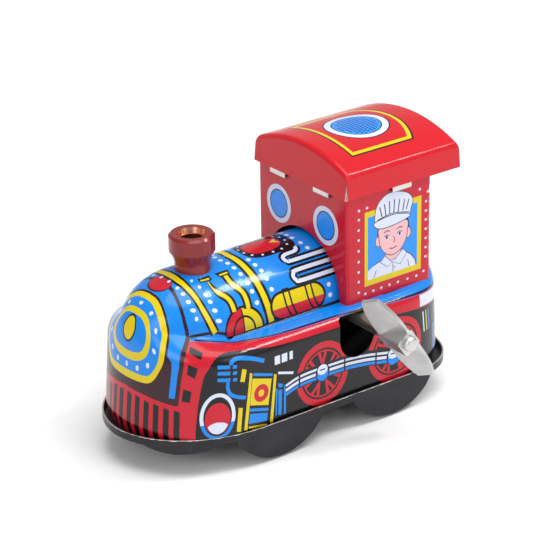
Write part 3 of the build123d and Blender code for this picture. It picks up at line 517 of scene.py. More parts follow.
def skirtPrints():
    # lower half of one side, drawn for the left
    p = []
    bandTop = [(12.9, 8.4), (13.5, 15), (14.2, 17.8), (16, 20.6), (17.4, 22.3), (19, 22.4), (25, 22.1),
        (30, 20.8), (35, 19.4), (42, 18.9), (50, 18.7), (60, 18.1), (70, 17.3), (80, 16.6),
        (halfLoop, 16.4)]
    band = smooth(bandTop, 4)
    p.append((np.concatenate([band, [(halfLoop, 0), (12.9, 0)]]), "red"))
    p.append((np.concatenate([stroke(band[20:] + (0, 0.35), 0.5, 1)]), "maroon"))
    panel = smooth([(16.7, 0), (17.2, 8), (18.2, 14), (19.3, 16.2), (20.8, 17.8), (23, 18.8),
        (25.5, 18.9), (30, 18), (35, 17.2), (42, 16.8), (50, 16.6), (60, 15.7), (70, 14.4), (80, 13.5),
        (halfLoop, 13.2)], 4)
    p.append((np.concatenate([panel, [(halfLoop, 0)]]), "black"))
    p.append((np.concatenate([smooth([(70.2, 17.1), (80, 16.4), (halfLoop, 16.2)], 4),
        smooth([(halfLoop, 13.4), (80, 13.7), (70.2, 14.6)], 4)]), "white"))
    p += [(s, "black") for s in (
        [(17.3, 21.1), (19.3, 19.5), (18.1, 18.1), (16.3, 19.6)],
        [(15.2, 17.3), (17.1, 16.5), (16.5, 14.4), (14.8, 15.3)],
        [(14.2, 12.2), (15.9, 11.7), (15.6, 9.3), (13.9, 9.6)],
    )]
    pilot = oval(21.3, 5.9, 3.7, 5.0)
    p += [(pilot, "white"), (np.concatenate([pilot[(pilot[:, 1] < 4.5)]]), "blue"),
        (oval(21.3, 5.9, 2.95, 4.2), "black"), (oval(21.3, 5.5, 2.65, 3.35), "red")]
    cup = oval(21.3, 5.5, 2.35, 3.3, 60)
    cup = cup[cup[:, 1] < 4.0]
    p.append((np.concatenate([cup[np.argsort(cup[:, 0])], smooth([(23.4, 4.0), (22.4, 4.5), (21.2, 4.7),
        (20.2, 4.5), (19.2, 4.0)], 4)[1:-1]]), "white"))
    for v in (16.2, 14.9, 13.5):
        p += [(stroke([(21.2, v + 0.2), (23.9, v - 0.25)], 0.75), "blue"),
            (stroke([(24.5, v - 0.35), (25.4, v - 0.5)], 0.7), "blue")]
    p.append((stroke([(31.8, 15.0), (28.6, 16.5), (25.8, 17.3), (24.5, 17.0), (24.0, 16.4)], 0.85), "blue"))
    p.append((stroke([(23.4, 12.9), (23.4, 11.5), (24.0, 10.2), (25.4, 9.3), (27.3, 8.6)], 0.75), "blue"))
    p += [(s, "yellow") for s in (
        [(26.6, 14.9), (27.6, 14.4), (27.1, 12.0), (26.1, 12.3)],
        [(25.7, 6.9), (26.6, 6.6), (26.1, 1.5), (25.2, 1.8)],
        [(28.3, 13.5), (28.9, 13.2), (27.5, 1.4), (26.8, 1.6)],
        [(34.1, 11.5), (34.7, 11.2), (33.6, 1.1), (32.9, 1.3)],
        [(28.9, 12.1), (33.5, 10.7), (32.6, 5.3), (28.2, 6.6)],
        [(27.8, 2.1), (32.2, 1.3), (32.1, 0.9), (27.8, 1.6)],
    )]
    p += [(s, "blue") for s in (
        [(29.2, 13.2), (33.8, 11.7), (33.7, 11.2), (29.1, 12.6)],
        [(28.2, 5.9), (32.6, 4.7), (32.5, 4.1), (28.1, 5.3)],
        [(28.1, 4.8), (32.4, 3.7), (32.2, 2.0), (27.9, 2.7)],
        [(34.5, 8.2), (34.9, 8.1), (34.6, 2.4), (34.3, 2.5)],
        [(35.1, 7.7), (36.0, 7.6), (35.7, 2.1), (35.0, 2.4)],
        [(36.5, 8.7), (37.0, 8.7), (36.8, 2.1), (36.3, 2.1)],
        [(35.0, 9.2), (36.2, 8.7), (36.1, 8.1), (35.2, 8.2)],
    )]
    p += [(oval(30.95, 8.4, 1.75, 1.85), "red"), (oval(30.95, 8.4, 0.7, 0.75, 16), "yellow")]
    p += [(box(34.3, 35.6, 13.3, 15.1), "white"), (box(36.0, 37.35, 13.3, 15.1), "white"),
        (box(37.9, 38.7, 13.4, 15.1), "white")]
    p.append((stroke([(35.1, 11.4), (38.8, 10.3)], 0.5), "white"))
    for cu, cv in ((46.0, 7.9), (64.0, 7.6)):
        wheelPrints(p, cu, cv)
    rod = np.array([(36.9, 7.3), (40, 8.15), (44, 8.4), (51.5, 8.3), (57, 7.7), (61, 6.9), (64, 6.3)])
    p += [(stroke(rod, 3.3), "black"), (stroke(rod + (0, 0.75), 0.5), "white"),
        (stroke(rod + (0, -0.25), 0.62), "white"), (stroke(rod + (0, -1.15), 0.62), "blue")]
    for u, v in ((40.2, 8.2), (51.5, 8.3), (59.5, 7.2)):
        p.append((stroke([(u, v - 1.6), (u + 0.1, v + 1.5)], 0.4), "black"))
    for cu, cv in ((46.0, 8.4), (64.0, 6.4)):
        p += [(oval(cu, cv - 0.3, 1.75, 2.0), "black"), (oval(cu, cv - 0.6, 1.4, 1.5), "blue"),
            (oval(cu, cv + 0.35, 1.25, 1.1), "white")]
        p.append((stroke([(cu - 0.65, cv + 0.35), (cu + 0.65, cv + 0.35)], 0.28), "black"))
    for u, name in ((71.3, "white"), (72.5, "yellow"), (73.6, "blue")):
        p.append((stroke([(u, 13.2), (u + 0.5, 8.6)], 0.42), name))
        p.append((stroke([(u + 13, 11.6), (u + 13.3, 3.4)], 0.42), name))
    p += [(box(76.5, 82.5, 3.0, 8.5), "blue"), (box(77.1, 81.9, 3.6, 7.9), "black"),
        (oval(79.5, 5.75, 1.7, 1.7), "red"), (oval(79.5, 5.75, 0.7, 0.7, 16), "yellow")]
    return p


def wheelPrints(p, cu, cv, outer=6.5):
    # red rim, thin dark circle, dark well and seven forked spokes
    p += [(oval(cu, cv, outer, outer + 0.35, 48), "red"), (ring(cu, cv, 5.25, 5.45, 0.4), "black"),
        (oval(cu, cv, 4.5, 4.7), "black")]
    for k in range(7):
        t = np.radians(90 + k * 360 / 7)
        along, across = np.array([np.cos(t), np.sin(t)]), np.array([-np.sin(t), np.cos(t)])
        c = np.array([cu, cv])
        p.append((np.array([c + along * 1.0, c + along * 4.6 + across * 1.15,
            c + along * 4.6 - across * 1.15]), "red"))
        p.append((np.array([c + along * 2.9, c + along * 4.62 + across * 0.42,
            c + along * 4.62 - across * 0.42]), "black"))


def boilerPrints():
    # upper half of one side: bands, pipes, dome, tank and rivets
    p = []
    p.append((stroke([(18.0, 23.3), (21, 24.1), (25, 24.7), (30, 24.1), (36, 23.8), (45, 23.7),
        (60, 23.6), (halfLoop, 23.6)], 0.62), "black"))
    front1 = [(0, 35.95), (4, 35.85), (8, 35.4), (12, 34.7), (16, 33.3), (19, 31.5), (21.5, 28.9),
        (23.2, 26.7), (24.6, 24.6)]
    p += [(stroke(front1, 2.5), "black"), (stroke(front1, 1.3), "yellow")]
    dome = oval(31.9, 23.9, 4.3, 4.6, 60)
    dome = dome[dome[:, 1] >= 23.89]
    outlined(p, dome, "red", 0.52)
    p.append((np.concatenate([dome[dome[:, 0] >= 31.9], [(31.9, 23.9)]]), "yellow"))
    p += [(ring(31.9, 23.9, 2.75, 3.2, 0.42, 0, 180), "black"),
        (stroke([(31.9, 23.9), (31.9, 28.4)], 0.3), "black")]
    pipe(p, [(27.2, 35.5), (27.5, 34.0), (28.3, 32.9), (29.7, 31.4), (30.2, 30.1), (30.3, 28.3)], 0.95,
        "yellow", 0.55)
    pipe(p, [(32.0, 35.9), (32.1, 34.2), (32.7, 32.8), (33.5, 31.5), (33.7, 30.0), (33.6, 28.1)], 0.95,
        "yellow", 0.55)
    p += [([(20.6, 36.6), (28.9, 37.1), (28.9, 35.8), (22.0, 35.5)], "black"),
        (stroke([(22.4, 36.05), (28.5, 36.35)], 0.45), "yellow")]
    p += [([(30.2, 37.1), (33.4, 37.1), (33.2, 35.9), (30.7, 35.8)], "black"),
        (stroke([(30.9, 36.35), (32.9, 36.4)], 0.42), "yellow")]
    band2 = [(38.4, 24.0), (37.8, 29), (37.3, 34), (36.9, 38), (36.5, shellV)]
    p += [(stroke(band2, 2.5), "black"), (stroke(band2, 1.25), "yellow")]
    tank = capsule(39.0, 51.6, 24.0, 28.8)
    outlined(p, tank, "yellow", 0.55)
    p.append((tank[tank[:, 1] <= 26.5], "red"))
    for u in (42.3, 47.7):
        p += [(stroke([(u - 0.1, 29.4), (u, 26.6), (u + 0.5, 24.9), (u + 1.1, 24.0)], 0.4), "black"),
            (stroke([(u + 1.3, 29.4), (u + 1.4, 26.6), (u + 1.9, 24.9), (u + 2.4, 24.0)], 0.4), "black")]
    p.append((stroke([(42.1, 29.4), (43.7, 29.4)], 0.4), "black"))
    pipe(p, [(50.2, 37.6), (49.9, 36.8), (49.0, 36.4), (47.0, 36.3), (46.1, 35.9), (45.9, 35.3),
        (46.3, 34.7), (47.4, 34.5), (56.5, 34.5)], 0.8, "white", 0.55)
    pipe(p, [(56.5, 32.3), (47.4, 32.3), (46.2, 31.9), (45.8, 31.2), (46.2, 30.4), (47.3, 30.05),
        (56.5, 30.05)], 0.8, "white", 0.55)
    top = shellV
    p.append((smooth([(39.0, top), (39.1, 39.6), (40.0, 38.1), (42.4, 37.3), (46.0, 37.2), (49.2, 37.3),
        (50.8, 38.3), (51.0, top)], 5), "black"))
    p.append((smooth([(40.4, top), (40.5, 39.9), (41.8, 38.8), (44.5, 38.5), (47.0, 38.9), (48.5, 40.0),
        (48.7, top)], 5), "red"))
    p.append(([(46.6, top), (48.5, 40.1), (48.0, top)], "yellow"))
    p += [(d, "white") for d in dots([(39.7, 40.3), (40.6, 38.8), (42.6, 38.0), (45.1, 37.9),
        (47.3, 38.0), (49.2, 38.8), (49.8, 40.3)], 0.28, 0.26)]
    rivets = [(34, 40.3), (34.6, 38.7), (34.9, 37), (35.2, 35.1), (35.5, 32.9), (35.6, 31), (35.8, 28.6),
        (39.0, 37.9), (39.4, 36.1), (39.8, 34.4), (39.9, 32.5), (40.0, 30.2)]
    rivets += [(51.6, 40.3), (52.0, 38.0), (52.4, 36.2), (53.2, 27.6), (53.1, 25.5), (19.4, 27.2)]
    p += [(d, "white") for d in dots(rivets, 0.5, 0.48)]
    nearRing = [(3.3, 34.4), (10, 33.4), (13.5, 32.2), (16.2, 30.6), (18.1, 28.9), (16.4, 36.0),
        (20.8, 34.4), (22.9, 32.6), (24.1, 31), (25.1, 29.2), (25.8, 27.1)]
    p += [(d, "white") for d in dots(nearRing, 0.95, 0.45)]
    return p


def nosePrints():
    # lamp, its two rings and the field below, drawn whole and centred a little to the left
    c = 0.6
    both = lambda half: np.array([(c + u, v) for u, v in half] + [(c - u, v) for u, v in half[::-1]])
    p = []
    p.append((both([(0, 10.2), (4.5, 9.75), (8.5, 9.1), (12.5, 8.4), (12.3, 10.0), (10.6, 10.1),
        (10.9, 14), (11.1, 17.6), (10.3, 19), (8, 25), (0, 26)]), "maroon"))
    p.append((both([(0, 10.2), (4.5, 9.75), (8.5, 9.1), (12.5, 8.4), (12.6, 0), (0, 0)]), "red"))
    for k, topV in enumerate((9.2, 9.1, 8.6, 8.4, 7.9, 7.6)):
        u = 1.15 + 2.25 * k
        for sign in (1, -1):
            p.append((np.array([(c + sign * (u - 0.6), 0), (c + sign * (u + 0.65), 0),
                (c + sign * (u + 0.62), topV - 0.35), (c + sign * (u - 0.62), topV)]), "black"))
    outer = smooth([(0, 30.0), (4, 29.6), (7, 28.5), (9.5, 26.7), (11.2, 24.8), (11.9, 23.4),
        (11.2, 21.3), (10.0, 18.8), (8.8, 16.2), (7.6, 13.9), (6.4, 12.6), (4.6, 12.1), (0, 12.0)], 5)
    inner = smooth([(0, 28.7), (3.4, 28.4), (6.1, 27.3), (8.3, 25.7), (9.8, 24.1), (10.4, 23.0),
        (9.8, 21.2), (8.7, 18.8), (7.6, 16.3), (6.6, 14.6), (5.6, 13.8), (4.2, 13.6), (0, 13.6)], 5)
    outlined(p, both(outer.tolist()), "yellow", 0.55, "maroon")
    p.append((both(inner.tolist()), "blue"))
    outerRing = smooth([(0, 26.5), (3.4, 26.1), (5.9, 24.9), (7.1, 23.0), (7.0, 21.0), (6.2, 19.0),
        (4.6, 17.1), (2.4, 16.1), (0, 15.9)], 5)
    innerRing = smooth([(0, 25.2), (2.9, 24.9), (5.0, 23.9), (5.9, 22.6), (5.8, 21.0), (5.1, 19.6),
        (4.0, 18.4), (2.3, 17.8), (0, 17.6)], 5)
    p += [(both(outerRing.tolist()), "yellow"), (both(innerRing.tolist()), "blue")]
    p += [(oval(c, 22.2, 2.45, 2.85, 40, 0.22), "black"), (oval(c, 22.2, 2.0, 2.4, 40, 0.22), "yellow")]
    p += [(d, "white") for d in dots([(c, 27.6)], 0.75, 0.42)]
    for sign in (1, -1):
        wide = [(c + sign * 5.5, 26.4)]
        tall = [(c + sign * u, v) for u, v in ((8.7, 23.3), (7.6, 19.2), (5.6, 16.0), (3.0, 14.75))]
        p += [(d, "white") for d in dots(wide, 0.65, 0.45) + dots(tall, 0.42, 0.6)]
    p += [(d, "white") for d in dots([(c, 14.75)], 0.3, 0.6)]
    line = smooth([(6.2, 33.1), (9, 32.3), (12, 30.7), (14.5, 28.6), (16.4, 26), (17.6, 23.7),
        (16.9, 22.1), (15.4, 20.0), (14, 17.8), (13.4, 15), (13.1, 12), (12.8, 8.6)], 5)
    p += [(stroke(line * (sign, 1), 0.9, 1), "maroon") for sign in (1, -1)]
    p += [(oval(0, 33.25, 6.6, 2.55, 40), "maroon"), (oval(0, 33.4, 6.2, 2.3, 40), "red")]
    return p


keyHole = dict(centreX=-8.2, half=4.35, bottom=15.6, top=25.0)
slotHole = dict(x0=-21.65, x1=-17.35, y0=13.65, y1=14.3)
chimneyBore = dict(radius=2.45, depth=3)


def sheetS(x):
    # distance round the engine from the nose of a point on the straight side at x
    return body["frontCentre"] - x + body["frontSweep"]


def keyHoleOutline():
    # a half circle below and upright sides up to the shelf's fold
    middle = keyHole["bottom"] + keyHole["half"] - body["floor"]
    t = np.linspace(0, -np.pi, 24)
    arc = np.stack([sheetS(keyHole["centreX"]) + keyHole["half"] * np.cos(t),
        middle + keyHole["half"] * np.sin(t)], 1)
    lift = np.interp(keyHole["top"], side[:20, 1], sideV[:20]) - 0.35
    return np.concatenate([arc, [(arc[-1, 0], lift - 0.8), (arc[-1, 0] + 0.8, lift),
        (arc[0, 0] - 0.8, lift), (arc[0, 0], lift - 0.8)]])


def tabSlots():
    # the slots of the cab's two tabs, measured in from the shoulder along the sheet
    low, high = (sideV[13] + body["half"] - body["shoulder"] - slotHole[k] for k in ("y1", "y0"))
    slot = box(sheetS(slotHole["x1"]), sheetS(slotHole["x0"]), low, high)
    return [slot, slot * (-1, 1)]


def chimneyHole(middle):
    # true where a triangle's middle lies within the bore of the chimney, near the crown
    away = np.hypot(middle[:, 0] - body["frontCentre"], middle[:, 1] - midY)
    return (away < chimneyBore["radius"]) & (middle[:, 2] > crownZ - chimneyBore["depth"])


def spread(*stops):
    # joins evenly spaced runs, each given as start, end and step
    runs = [np.linspace(a, b, max(2, int(round(abs(b - a) / d)) + 1)) for a, b, d in stops]
    return np.unique(np.round(np.concatenate(runs), 5))


def makeBodyShell():
    # grid lines stand close at the nose, the shoulder and the crease, and wide along the flat sides
    sweep = body["frontSweep"]
    half = spread((0, sweep, 0.8), (sweep, sweep + straight, 1.6), (sweep + straight, halfLoop, 0.9))
    along = np.concatenate([-half[:0:-1], half])
    up = spread((0, 15.6, 1.5), (15.6, 21, 0.42), (21, 24.6, 0.4), (24.6, shellV - 2, 0.85),
        (shellV - 2, shellV, 0.5))
    outline = np.concatenate([[(u, 0) for u in along], [(halfLoop, v) for v in up[1:-1]],
        [(u, shellV) for u in along[::-1]], [(-halfLoop, v) for v in up[-2:0:-1]]])
    prints = nosePrints()[:2] + mirrorPrints(skirtPrints()) + nosePrints()[2:] + mirrorPrints(boilerPrints())
    piece = printedSheet("printedBodyShell", outline, prints, "blue", bendBody, along, up,
        body["thickness"], [keyHoleOutline()] + tabSlots(), chimneyHole)
    piece.data.materials.append(enamel)
    piece.data.materials.append(bareTin)
    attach(piece, "chassis")
    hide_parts("body_shell")


makeBodyShell()
print("body shell bent and printed")


cab = dict(
    rear=cabLow.x / mm, front=cabHigh.x / mm, half=(cabHigh.y - cabLow.y) / 2 / mm, foot=25.2, head=52.0,
    corner=0.7, thickness=0.3, archGap=0.5, archLift=0.4,
)


def cabPath():
    # plan of the walls as one closed loop: four straight runs joined by quarter circles
    r, half = cab["corner"], cab["half"]
    t = np.radians(np.linspace(0, 90, 7))
    quarter = np.stack([np.sin(t), np.cos(t)], 1)
    rearLeft = np.array([cab["rear"] + r, half - r]) + r * np.stack([-np.cos(t), np.sin(t)], 1)
    frontLeft = np.array([cab["front"] - r, half - r]) + r * quarter
    frontRight = np.array([cab["front"] - r, -half + r]) + r * np.stack([np.cos(t), -np.sin(t)], 1)
    rearRight = np.array([cab["rear"] + r, -half + r]) + r * np.stack([-np.sin(t), -np.cos(t)], 1)
    return np.concatenate([[(cab["rear"], 0)], rearLeft, frontLeft, frontRight, rearRight,
        [(cab["rear"], 0)]])


cabPlan = cabPath()
cabU = lengthAlong(cabPlan)
leftStart, frontStart = cabU[7], cabU[14]
rightStart = cabU[21]


def bendCab(u, v):
    # u runs round the plan from the rear wall's middle by the left side; v is the height
    return np.stack([np.interp(u, cabU, cabPlan[:, 0]), midY + np.interp(u, cabU, cabPlan[:, 1]), v], -1)


def onLeft(shape):
    # shape drawn as (distance behind the origin, height)
    p = np.array(shape, float)
    return np.stack([leftStart - p[:, 0] - (cab["rear"] + cab["corner"]), p[:, 1]], 1)


def onRight(shape):
    # the same drawing on the other side, where the sheet runs the other way
    p = np.array(shape, float)
    return np.stack([rightStart + p[:, 0] + (cab["front"] - cab["corner"]), p[:, 1]], 1)


def onFront(shape):
    # shape drawn as (distance left of the middle, height)
    p = np.array(shape, float)
    return np.stack([frontStart + (cab["half"] - cab["corner"]) - p[:, 0], p[:, 1]], 1)


def driverPrints():
    # a calm round-faced driver of no one in particular, cap, collar and jacket, in the frame's window
    p = [(box(12.8, 27.35, 28.1, 43.9), "yellow"), (box(13.6, 26.3, 29.3, 42.7), "glass")]
    shoulders = smooth([(13.6, 31.2), (15.2, 32.0), (17.4, 32.6), (19.6, 33.0), (22.0, 33.2),
        (24.2, 32.2), (25.6, 30.6), (26.0, 29.3)], 5)
    jacket = np.concatenate([shoulders, [(13.6, 29.3)]])
    p += [(stroke(shoulders[5:], 0.35, 1), "lead"), (jacket, "white")]
    outlined(p, [(18.1, 31.9), (22.0, 32.4), (22.0, 35.2), (18.3, 35.2)], "skin", 0.14, "lead")
    for collar in ([(16.9, 32.3), (18.0, 33.3), (19.9, 31.4), (18.6, 30.9)],
        [(22.6, 33.6), (21.9, 33.0), (20.1, 31.4), (22.0, 30.7), (23.6, 32.6)]):
        outlined(p, collar, "white", 0.14, "lead")
    p += [(stroke([(20.0, 31.2), (20.1, 29.4)], 0.16), "lead"),
        (stroke([(15.2, 29.4), (15.8, 30.9)], 0.16), "lead"),
        (stroke([(24.3, 29.4), (23.9, 31.0)], 0.16), "lead")]
    p += [(oval(20.5, 30.4, 0.17, 0.17, 10), "lead")]
    p.append((oval(20.1, 38.6, 4.1, 3.6, 36), "hair"))
    for cu in (16.35, 23.85):
        outlined(p, oval(cu, 36.9, 0.75, 1.05, 20), "skin", 0.14, "lead")
    face = smooth([(16.6, 39.6), (16.5, 37.6), (16.9, 35.6), (18.2, 33.9), (20.1, 33.2), (22.0, 33.9),
        (23.3, 35.6), (23.7, 37.6), (23.6, 39.6), (20.1, 40.4)], 5, True)
    outlined(p, face, "skin", 0.16, "lead")
    for cu in (18.45, 21.75):  # eyes half way down the head, one eye's width apart
        p += [(oval(cu, 37.25, 0.62, 0.36, 18), "white"), (oval(cu, 37.25, 0.3, 0.34, 14), "lead")]
        p += [(stroke([(cu - 0.7, 37.45), (cu, 37.72), (cu + 0.7, 37.45)], 0.16), "lead"),
            (stroke([(cu - 0.75, 38.3), (cu, 38.62), (cu + 0.75, 38.35)], 0.2), "hair")]
    p += [(stroke([(20.2, 37.1), (20.5, 35.95), (20.0, 35.75)], 0.15), "lead"),
        (stroke([(19.1, 34.75), (20.1, 34.5), (21.1, 34.75)], 0.2), "lead")]
    crown = smooth([(15.9, 41.0), (15.5, 42.8), (16.3, 44.9), (18.4, 46.3), (21.0, 46.3), (23.6, 45.4),
        (25.0, 43.8), (24.6, 42.0), (23.9, 40.8), (20.0, 41.6)], 5, True)
    outlined(p, crown, "white", 0.18, "lead")
    for u0, u1 in ((16.6, 17.2), (17.8, 18.2), (19.1, 19.2), (20.4, 20.2), (21.7, 21.3), (23.0, 22.5),
        (24.1, 23.4)):
        p.append((stroke([(u0, 45.0 - abs(u0 - 20) * 0.25), (u1, 41.9)], 0.26), "lead"))
    p.append((stroke([(16.0, 41.5), (20.0, 42.0), (24.2, 41.2)], 0.2), "lead"))
    peak = smooth([(15.2, 40.6), (16.0, 41.2), (20.0, 41.6), (23.8, 40.9), (24.0, 40.2), (20.0, 39.5),
        (16.6, 39.6)], 5, True)
    outlined(p, peak, "white", 0.18, "lead")
    return p


def cabPrints():
    # window and rivets on both sides, round portholes front and rear
    p = []
    left = driverPrints()
    rivetPlaces = [(11.4, 44.7), (13.4, 44.8), (11.35, 42.8), (11.3, 40.6), (11.3, 38.5), (11.3, 36.2),
        (11.3, 33.9), (11.3, 31.7), (11.3, 29.6), (11.3, 27.3)]
    rivetPlaces += [(13.0, 26.6), (15.05, 26.7), (17.1, 26.75), (19.2, 26.8), (21.4, 26.8), (23.9, 26.8),
        (26.2, 26.8), (28.1, 27.3), (26.9, 45.3), (29.0, 44.3)]
    rivetPlaces += [(28.55, v) for v in (42.3, 40.3, 38.4, 36.4, 34.4, 32.4, 30.4)]
    left += [(d, "white") for d in dots(rivetPlaces, 0.3, 0.28)]
    for shape, name in left:
        p += [(onLeft(shape), name), (onRight(shape), name)]
    for y in (-7.5, 7.5):
        for shape, name in ((oval(y, 40.3, 3.9, 4.05, 56), "white"),
            (oval(y, 40.3, 2.85, 3.05, 48), "black"), (oval(y, 40.3, 2.6, 2.8, 48), "glass")):
            p.append((onFront(shape), name))
            # the same again round the seam at the rear
            p.append((shape + (0 if y > 0 else cabU[-1], 0), name))
    return p


def bodySectionAt(x):
    # the body's outline across the engine at x: along each row of the sheet, the first point behind x
    rows, columns = 60, 400
    v = np.linspace(18, shellV - 0.01, rows)
    s = np.linspace(body["frontSweep"] + straight - 4, halfLoop, columns)
    grid = bendBody(s[None, :].repeat(rows, 0), v[:, None].repeat(columns, 1))
    met = grid[np.arange(rows), np.argmax(grid[:, :, 0] <= x, 1)]
    return met[:, 1] - midY, met[:, 2], grid[:, :, 0].min(1) < x


def archOutlines():
    # an opening for the boiler in the front wall and one for its tail in the rear wall
    t = np.linspace(0, np.pi, 60)
    r = body["boilerRadius"] + cab["archGap"]
    y, z = r * np.cos(t), cab["foot"] + cab["archLift"] + r * np.sin(t)
    frontArch = onFront(np.concatenate([np.stack([y, z], 1), [(-r, cab["foot"] - 1), (r, cab["foot"] - 1)]]))
    sy, sz, found = bodySectionAt(cab["rear"])
    sy, sz = sy[found], sz[found]
    inside = (sy < 12.4) & (sz > cab["foot"] - 0.2)
    sy, sz = sy[inside] + cab["archGap"] * 0.8, sz[inside] + cab["archGap"]
    half = np.concatenate([[(sy[0], cab["foot"] - 1)], np.stack([sy, sz], 1)])
    whole = np.concatenate([half, (half * (-1, 1))[::-1]])
    left, right = whole[whole[:, 0] >= 0], whole[whole[:, 0] < 0]
    leftArch = np.concatenate([left, [(-2, left[-1, 1]), (-2, cab["foot"] - 1)]])
    rightArch = np.concatenate([[(2, cab["foot"] - 1), (2, right[0, 1])], right]) + (cabU[-1], 0)
    return [frontArch, leftArch, rightArch]


def makeCab():
    # grid lines stand close round the four corners
    turnLong, starts = 1.1, (0, leftStart, frontStart, rightStart, cabU[28])
    runs = [(cabU[28], cabU[-1], 2)]
    for begin, end in zip(starts[:-1], starts[1:]):
        runs += [(begin, end - turnLong, 2), (end - turnLong, end, 0.18)]
    around = spread(*runs)
    up = spread((cab["foot"], cab["head"], 2))
    outline = np.concatenate([[(u, up[0]) for u in around], [(around[-1], v) for v in up[1:-1]],
        [(u, up[-1]) for u in around[::-1]], [(0, v) for v in up[-2:0:-1]]])
    piece = printedSheet("printedCabWalls", outline, cabPrints(), "red", bendCab, around, up,
        cab["thickness"], archOutlines())
    piece.data.materials.append(enamel)
    piece.data.materials.append(bareTin)
    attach(piece, "chassis")
    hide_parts("cab")


makeCab()
print("cab walls folded and printed")


roof = dict(
    front=roofHigh.x / mm, rear=roofLow.x / mm, half=(roofHigh.y - roofLow.y) / 2 / mm,
    bottom=47.8, sideTop=52.8, rise=3.2, bend=1.1, flare=0.35, cornerGap=0.25, thickness=0.3,
    tabWidth=4.8, tabPlace=6.9, tabDrop=1.15, tabReach=1.2, sideTabFromRear=8.2,
)


def roofSection():
    # upright flange, a rounded fold and half the barrel's arc, from the left edge to the crown, then mirrored
    half, bend = roof["half"], roof["bend"]
    radius = (half**2 + roof["rise"] ** 2) / (2 * roof["rise"])
    crown = roof["sideTop"] + roof["rise"]
    centre = crown - radius
    foldZ = centre + np.sqrt((radius - bend) ** 2 - (half - bend) ** 2)  # centre of the fold's circle
    t = np.linspace(0, np.arctan2(foldZ - centre, half - bend), 8)
    fold = np.stack([half - bend + bend * np.cos(t), foldZ + bend * np.sin(t)], 1)
    t = np.linspace(t[-1], np.pi / 2, 24)[1:]
    barrel = np.stack([radius * np.cos(t), centre + radius * np.sin(t)], 1)
    left = np.concatenate([[(half, roof["bottom"])], fold, barrel])
    left[-1, 0] = 0
    return np.concatenate([left, (left * (-1, 1))[-2::-1]])


roofYz = roofSection()
roofP = lengthAlong(roofYz)
roofTurn = roof["bend"] * np.pi / 2
roofLong = roof["front"] - roof["rear"] - 2 * roof["bend"]
roofDrop = roof["sideTop"] + roof["rise"] - roof["bend"] - roof["bottom"]
roofQ = dict(rearEdge=roofDrop + roofTurn, frontEdge=roofDrop + roofTurn + roofLong)
roofTotal = roofQ["frontEdge"] + roofTurn + roofDrop


def bendRoof(p, q):
    # p runs across over the barrel; q runs forwards, up the rear flange, over its fold, along, and down.
    # Past each fold's quarter circle the sheet drops to the bottom edge by its own share of the height there.
    y, top = np.interp(p, roofP, roofYz[:, 0]), np.interp(p, roofP, roofYz[:, 1])
    past = np.maximum(np.maximum(roofQ["rearEdge"] - q, q - roofQ["frontEdge"]), 0)
    angle = np.clip(past / roofTurn, 0, 1) * np.pi / 2
    share = np.clip((past - roofTurn) / roofDrop, 0, 1)
    level = np.clip((top - roof["bottom"]) / (roof["sideTop"] - roof["bottom"]), 0, 1)
    z = top - roof["bend"] * (1 - np.cos(angle)) * level
    z = z - share * (z - roof["bottom"])
    # the flanges lean out towards their lower edges
    reach = roof["bend"] * np.sin(angle) + roof["flare"] * share
    y = y + np.sign(y) * roof["flare"] * (1 - level) * (share == 0)
    flatX = roof["rear"] + roof["bend"] + np.clip(q - roofQ["rearEdge"], 0, roofLong)
    x = flatX + np.where(q > roofQ["frontEdge"], reach, 0) - np.where(q < roofQ["rearEdge"], reach, 0)
    return np.stack([x, midY + y, z], -1)


def roofPlace(y, x):
    # a point of the barrel's top given by its own y and x, on the flat sheet
    order = np.argsort(roofYz[8:-8, 0])
    return np.stack([np.interp(y, roofYz[8:-8, 0][order], roofP[8:-8][order]),
        np.asarray(x) - roof["rear"] - roof["bend"] + roofQ["rearEdge"]], 1)


roofPrint = dict(
    ventX=-22.2, frameHalf=9.9, frameFront=-13.2, frameRear=-28.3, frameBow=-31.1, line=0.85,
    rowStep=0.82, dashStep=0.76, grille=4.3,
)


def roofPrints():
    # bowed frame and round vent, each as discs and outlines stacked from the largest inwards
    p = []
    f = roofPrint
    corner = smooth([(f["frameHalf"], f["frameRear"]), (7.5, -29.6), (4, -30.7), (0, f["frameBow"])], 6)
    half = np.concatenate([[(0, f["frameFront"]), (f["frameHalf"], f["frameFront"])], corner])
    line = np.concatenate([half, (half * (-1, 1))[-2:0:-1]])
    for grow, name in ((0.42, "maroon"), (0.0, "yellow"), (-f["line"], "roofRed")):
        centre = np.array([0, f["ventX"]])
        scaled = (line - centre) * (1 + grow / f["frameHalf"]) + centre
        p.append((roofPlace(*scaled.T), name))
    for r, name in ((6.75, "maroon"), (6.45, "white"), (5.15, "black"), (4.9, "glass")):
        p.append((roofPlace(*oval(0, f["ventX"], r * 0.96, r * 1.03, 60).T), name))
    for row in np.arange(-5, 6):  # grille: dashed rows across the disc
        x = row * f["rowStep"]
        reach = np.sqrt(max(0, f["grille"] ** 2 - x**2))
        for y in np.arange(-6, 7) * f["dashStep"] + (row % 2) * 0.2:
            if abs(y) < reach:
                p.append((roofPlace(*box(y - 0.3, y + 0.3, f["ventX"] + x - 0.2, f["ventX"] + x + 0.2).T),
                    "mesh"))
    return p


